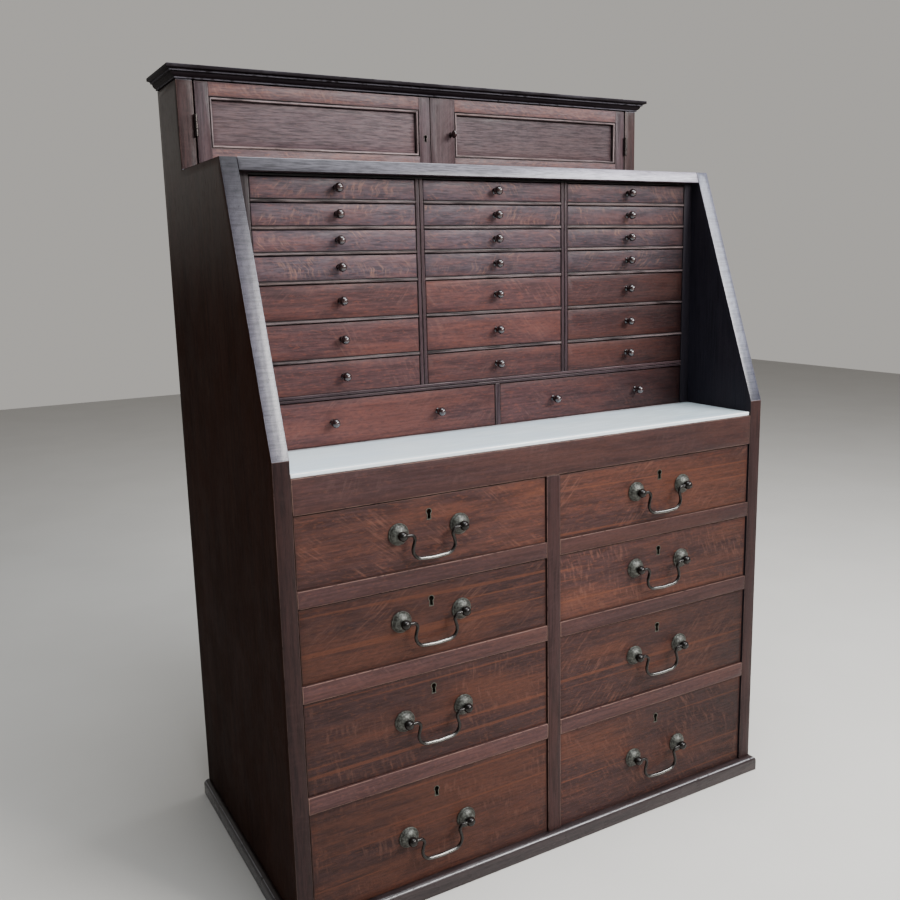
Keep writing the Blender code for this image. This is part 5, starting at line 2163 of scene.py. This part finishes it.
# Studio
@dataclass(frozen=True)
class Lamp:
    """A soft rectangular light."""

    name: str
    place: Point
    aim: Point
    width: float
    height: float
    power: float
    colour: Colour = (1.0, 1.0, 1.0)

    def add(self) -> None:
        """Add the light to the scene."""
        data = bpy.data.lights.new(self.name, "AREA")
        data.shape = "RECTANGLE"
        data.size = self.width
        data.size_y = self.height
        data.energy = self.power
        data.color = self.colour
        item = bpy.data.objects.new(self.name, data)
        item.location = self.place
        way = Vector(self.aim) - Vector(self.place)
        item.rotation_euler = way.to_track_quat("-Z", "Y").to_euler()
        bpy.context.scene.collection.objects.link(item)


@dataclass
class Studio:
    """The camera, the lights and the floor."""

    camera_place: Point = (-0.84725, -1.40984, 0.97798)
    camera_right: Point = (0.86706092, -0.49769706, -0.02242778)
    camera_down: Point = (-0.1087779, -0.14519166, -0.98340569)
    camera_ahead: Point = (0.48618179, 0.85511228, -0.18002845)
    sensor: float = 36.0
    image_size: float = 900.0
    focal_pixels: float = 941.7559
    centre_pixel: Pair = (455.4328, 433.0069)
    floor_size: float = 12.0
    ambient: Colour = (1.0, 0.96, 0.90)
    shade: Colour = (0.16, 0.16, 0.17)
    ambient_range: Pair = (-0.2, 1.0)
    ambient_strength: float = 0.45
    lamps: tuple[Lamp, ...] = (
        Lamp("key_light", (1.4, -2.6, 2.3), (0.0, 0.0, 0.75), 1.2, 1.0, 120.0, (1.0, 0.98, 0.95)),
        Lamp("front_light", (0.2, -3.4, 1.9), (0.0, 0.0, 0.6), 2.4, 1.8, 35.0, (0.95, 0.97, 1.0)),
        Lamp("top_light", (0.2, -0.6, 3.2), (0.0, 0.0, 0.6), 2.0, 2.0, 104.0, (0.91, 0.96, 1.0)),
        Lamp("window_light", (2.2, -1.6, 2.2), (0.3, 0.0, 1.0), 0.9, 0.9, 30.0, (0.92, 0.95, 1.0)),
        Lamp("rim_light", (1.65, -1.5, 2.55), (0.1, -0.1, 1.08), 0.5, 0.5, 9.0, (0.88, 0.93, 1.0)),
    )

    def build(self) -> None:
        """Add the camera, the lights, the pale surroundings and the floor."""
        self.add_camera()
        for lamp in self.lamps:
            lamp.add()
        self.add_surroundings()
        self.add_floor()

    def add_camera(self) -> None:
        """Add the camera at the photograph's place and make it the scene's own."""
        data = bpy.data.cameras.new("camera")
        data.sensor_width = self.sensor
        data.lens = self.sensor * self.focal_pixels / self.image_size
        middle = self.image_size / 2
        data.shift_x = (middle - self.centre_pixel[0]) / self.image_size
        data.shift_y = (self.centre_pixel[1] - middle) / self.image_size
        camera = bpy.data.objects.new("camera", data)
        axes = (Vector(self.camera_right), -Vector(self.camera_down), -Vector(self.camera_ahead))
        turn = Matrix(axes).transposed().to_4x4()
        camera.matrix_world = Matrix.Translation(self.camera_place) @ turn
        bpy.context.scene.collection.objects.link(camera)
        bpy.context.scene.camera = camera

    def add_surroundings(self) -> None:
        """Light the scene faintly from all round."""
        tree = Tree(bpy.data.worlds.new("surroundings"))
        rightward, backward, _ = tree.parts(tree.node("ShaderNodeTexCoord", {}, {}, "Generated"))
        colour = tree.mix(self.shade, self.ambient, tree.ease(rightward + backward, self.ambient_range))
        sockets = {"Color": colour, "Strength": self.ambient_strength}
        tree.node("ShaderNodeOutputWorld", {}, {"Surface": tree.node("ShaderNodeBackground", {}, sockets)})
        bpy.context.scene.world = tree.owner

    def add_floor(self) -> None:
        """Lay the floor under the cabinet."""
        half = self.floor_size / 2
        mesh = bpy.data.meshes.new("floor")
        corners = [(-half, -half, 0.0), (half, -half, 0.0), (half, half, 0.0), (-half, half, 0.0)]
        mesh.from_pydata(corners, [], [range(len(corners))])
        mesh.materials.append(FloorFinish("pale_floor").build())
        floor = bpy.data.objects.new("floor", mesh)
        bpy.context.scene.collection.objects.link(floor)


def main() -> None:
    """Load the frame, build and dress each sub-assembly and set the studio."""
    logging.basicConfig(level=logging.INFO, format="%(name)s: %(message)s")
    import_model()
    palette = Palette()
    assemblies = (
        Sides(),
        Plinth(),
        BackPlanks(),
        ChestFrame(),
        Worktop(),
        NestFrame(),
        NestDrawers(),
        ChestDrawers(),
        Doors(),
        Hinges(),
        Cornice(),
    )
    for assembly in assemblies:
        pieces = assembly.dress(palette)
        LOG.info("%s: %d pieces", type(assembly).__name__, len(pieces))
    Studio().build()


if __name__ == "__main__":
    main()
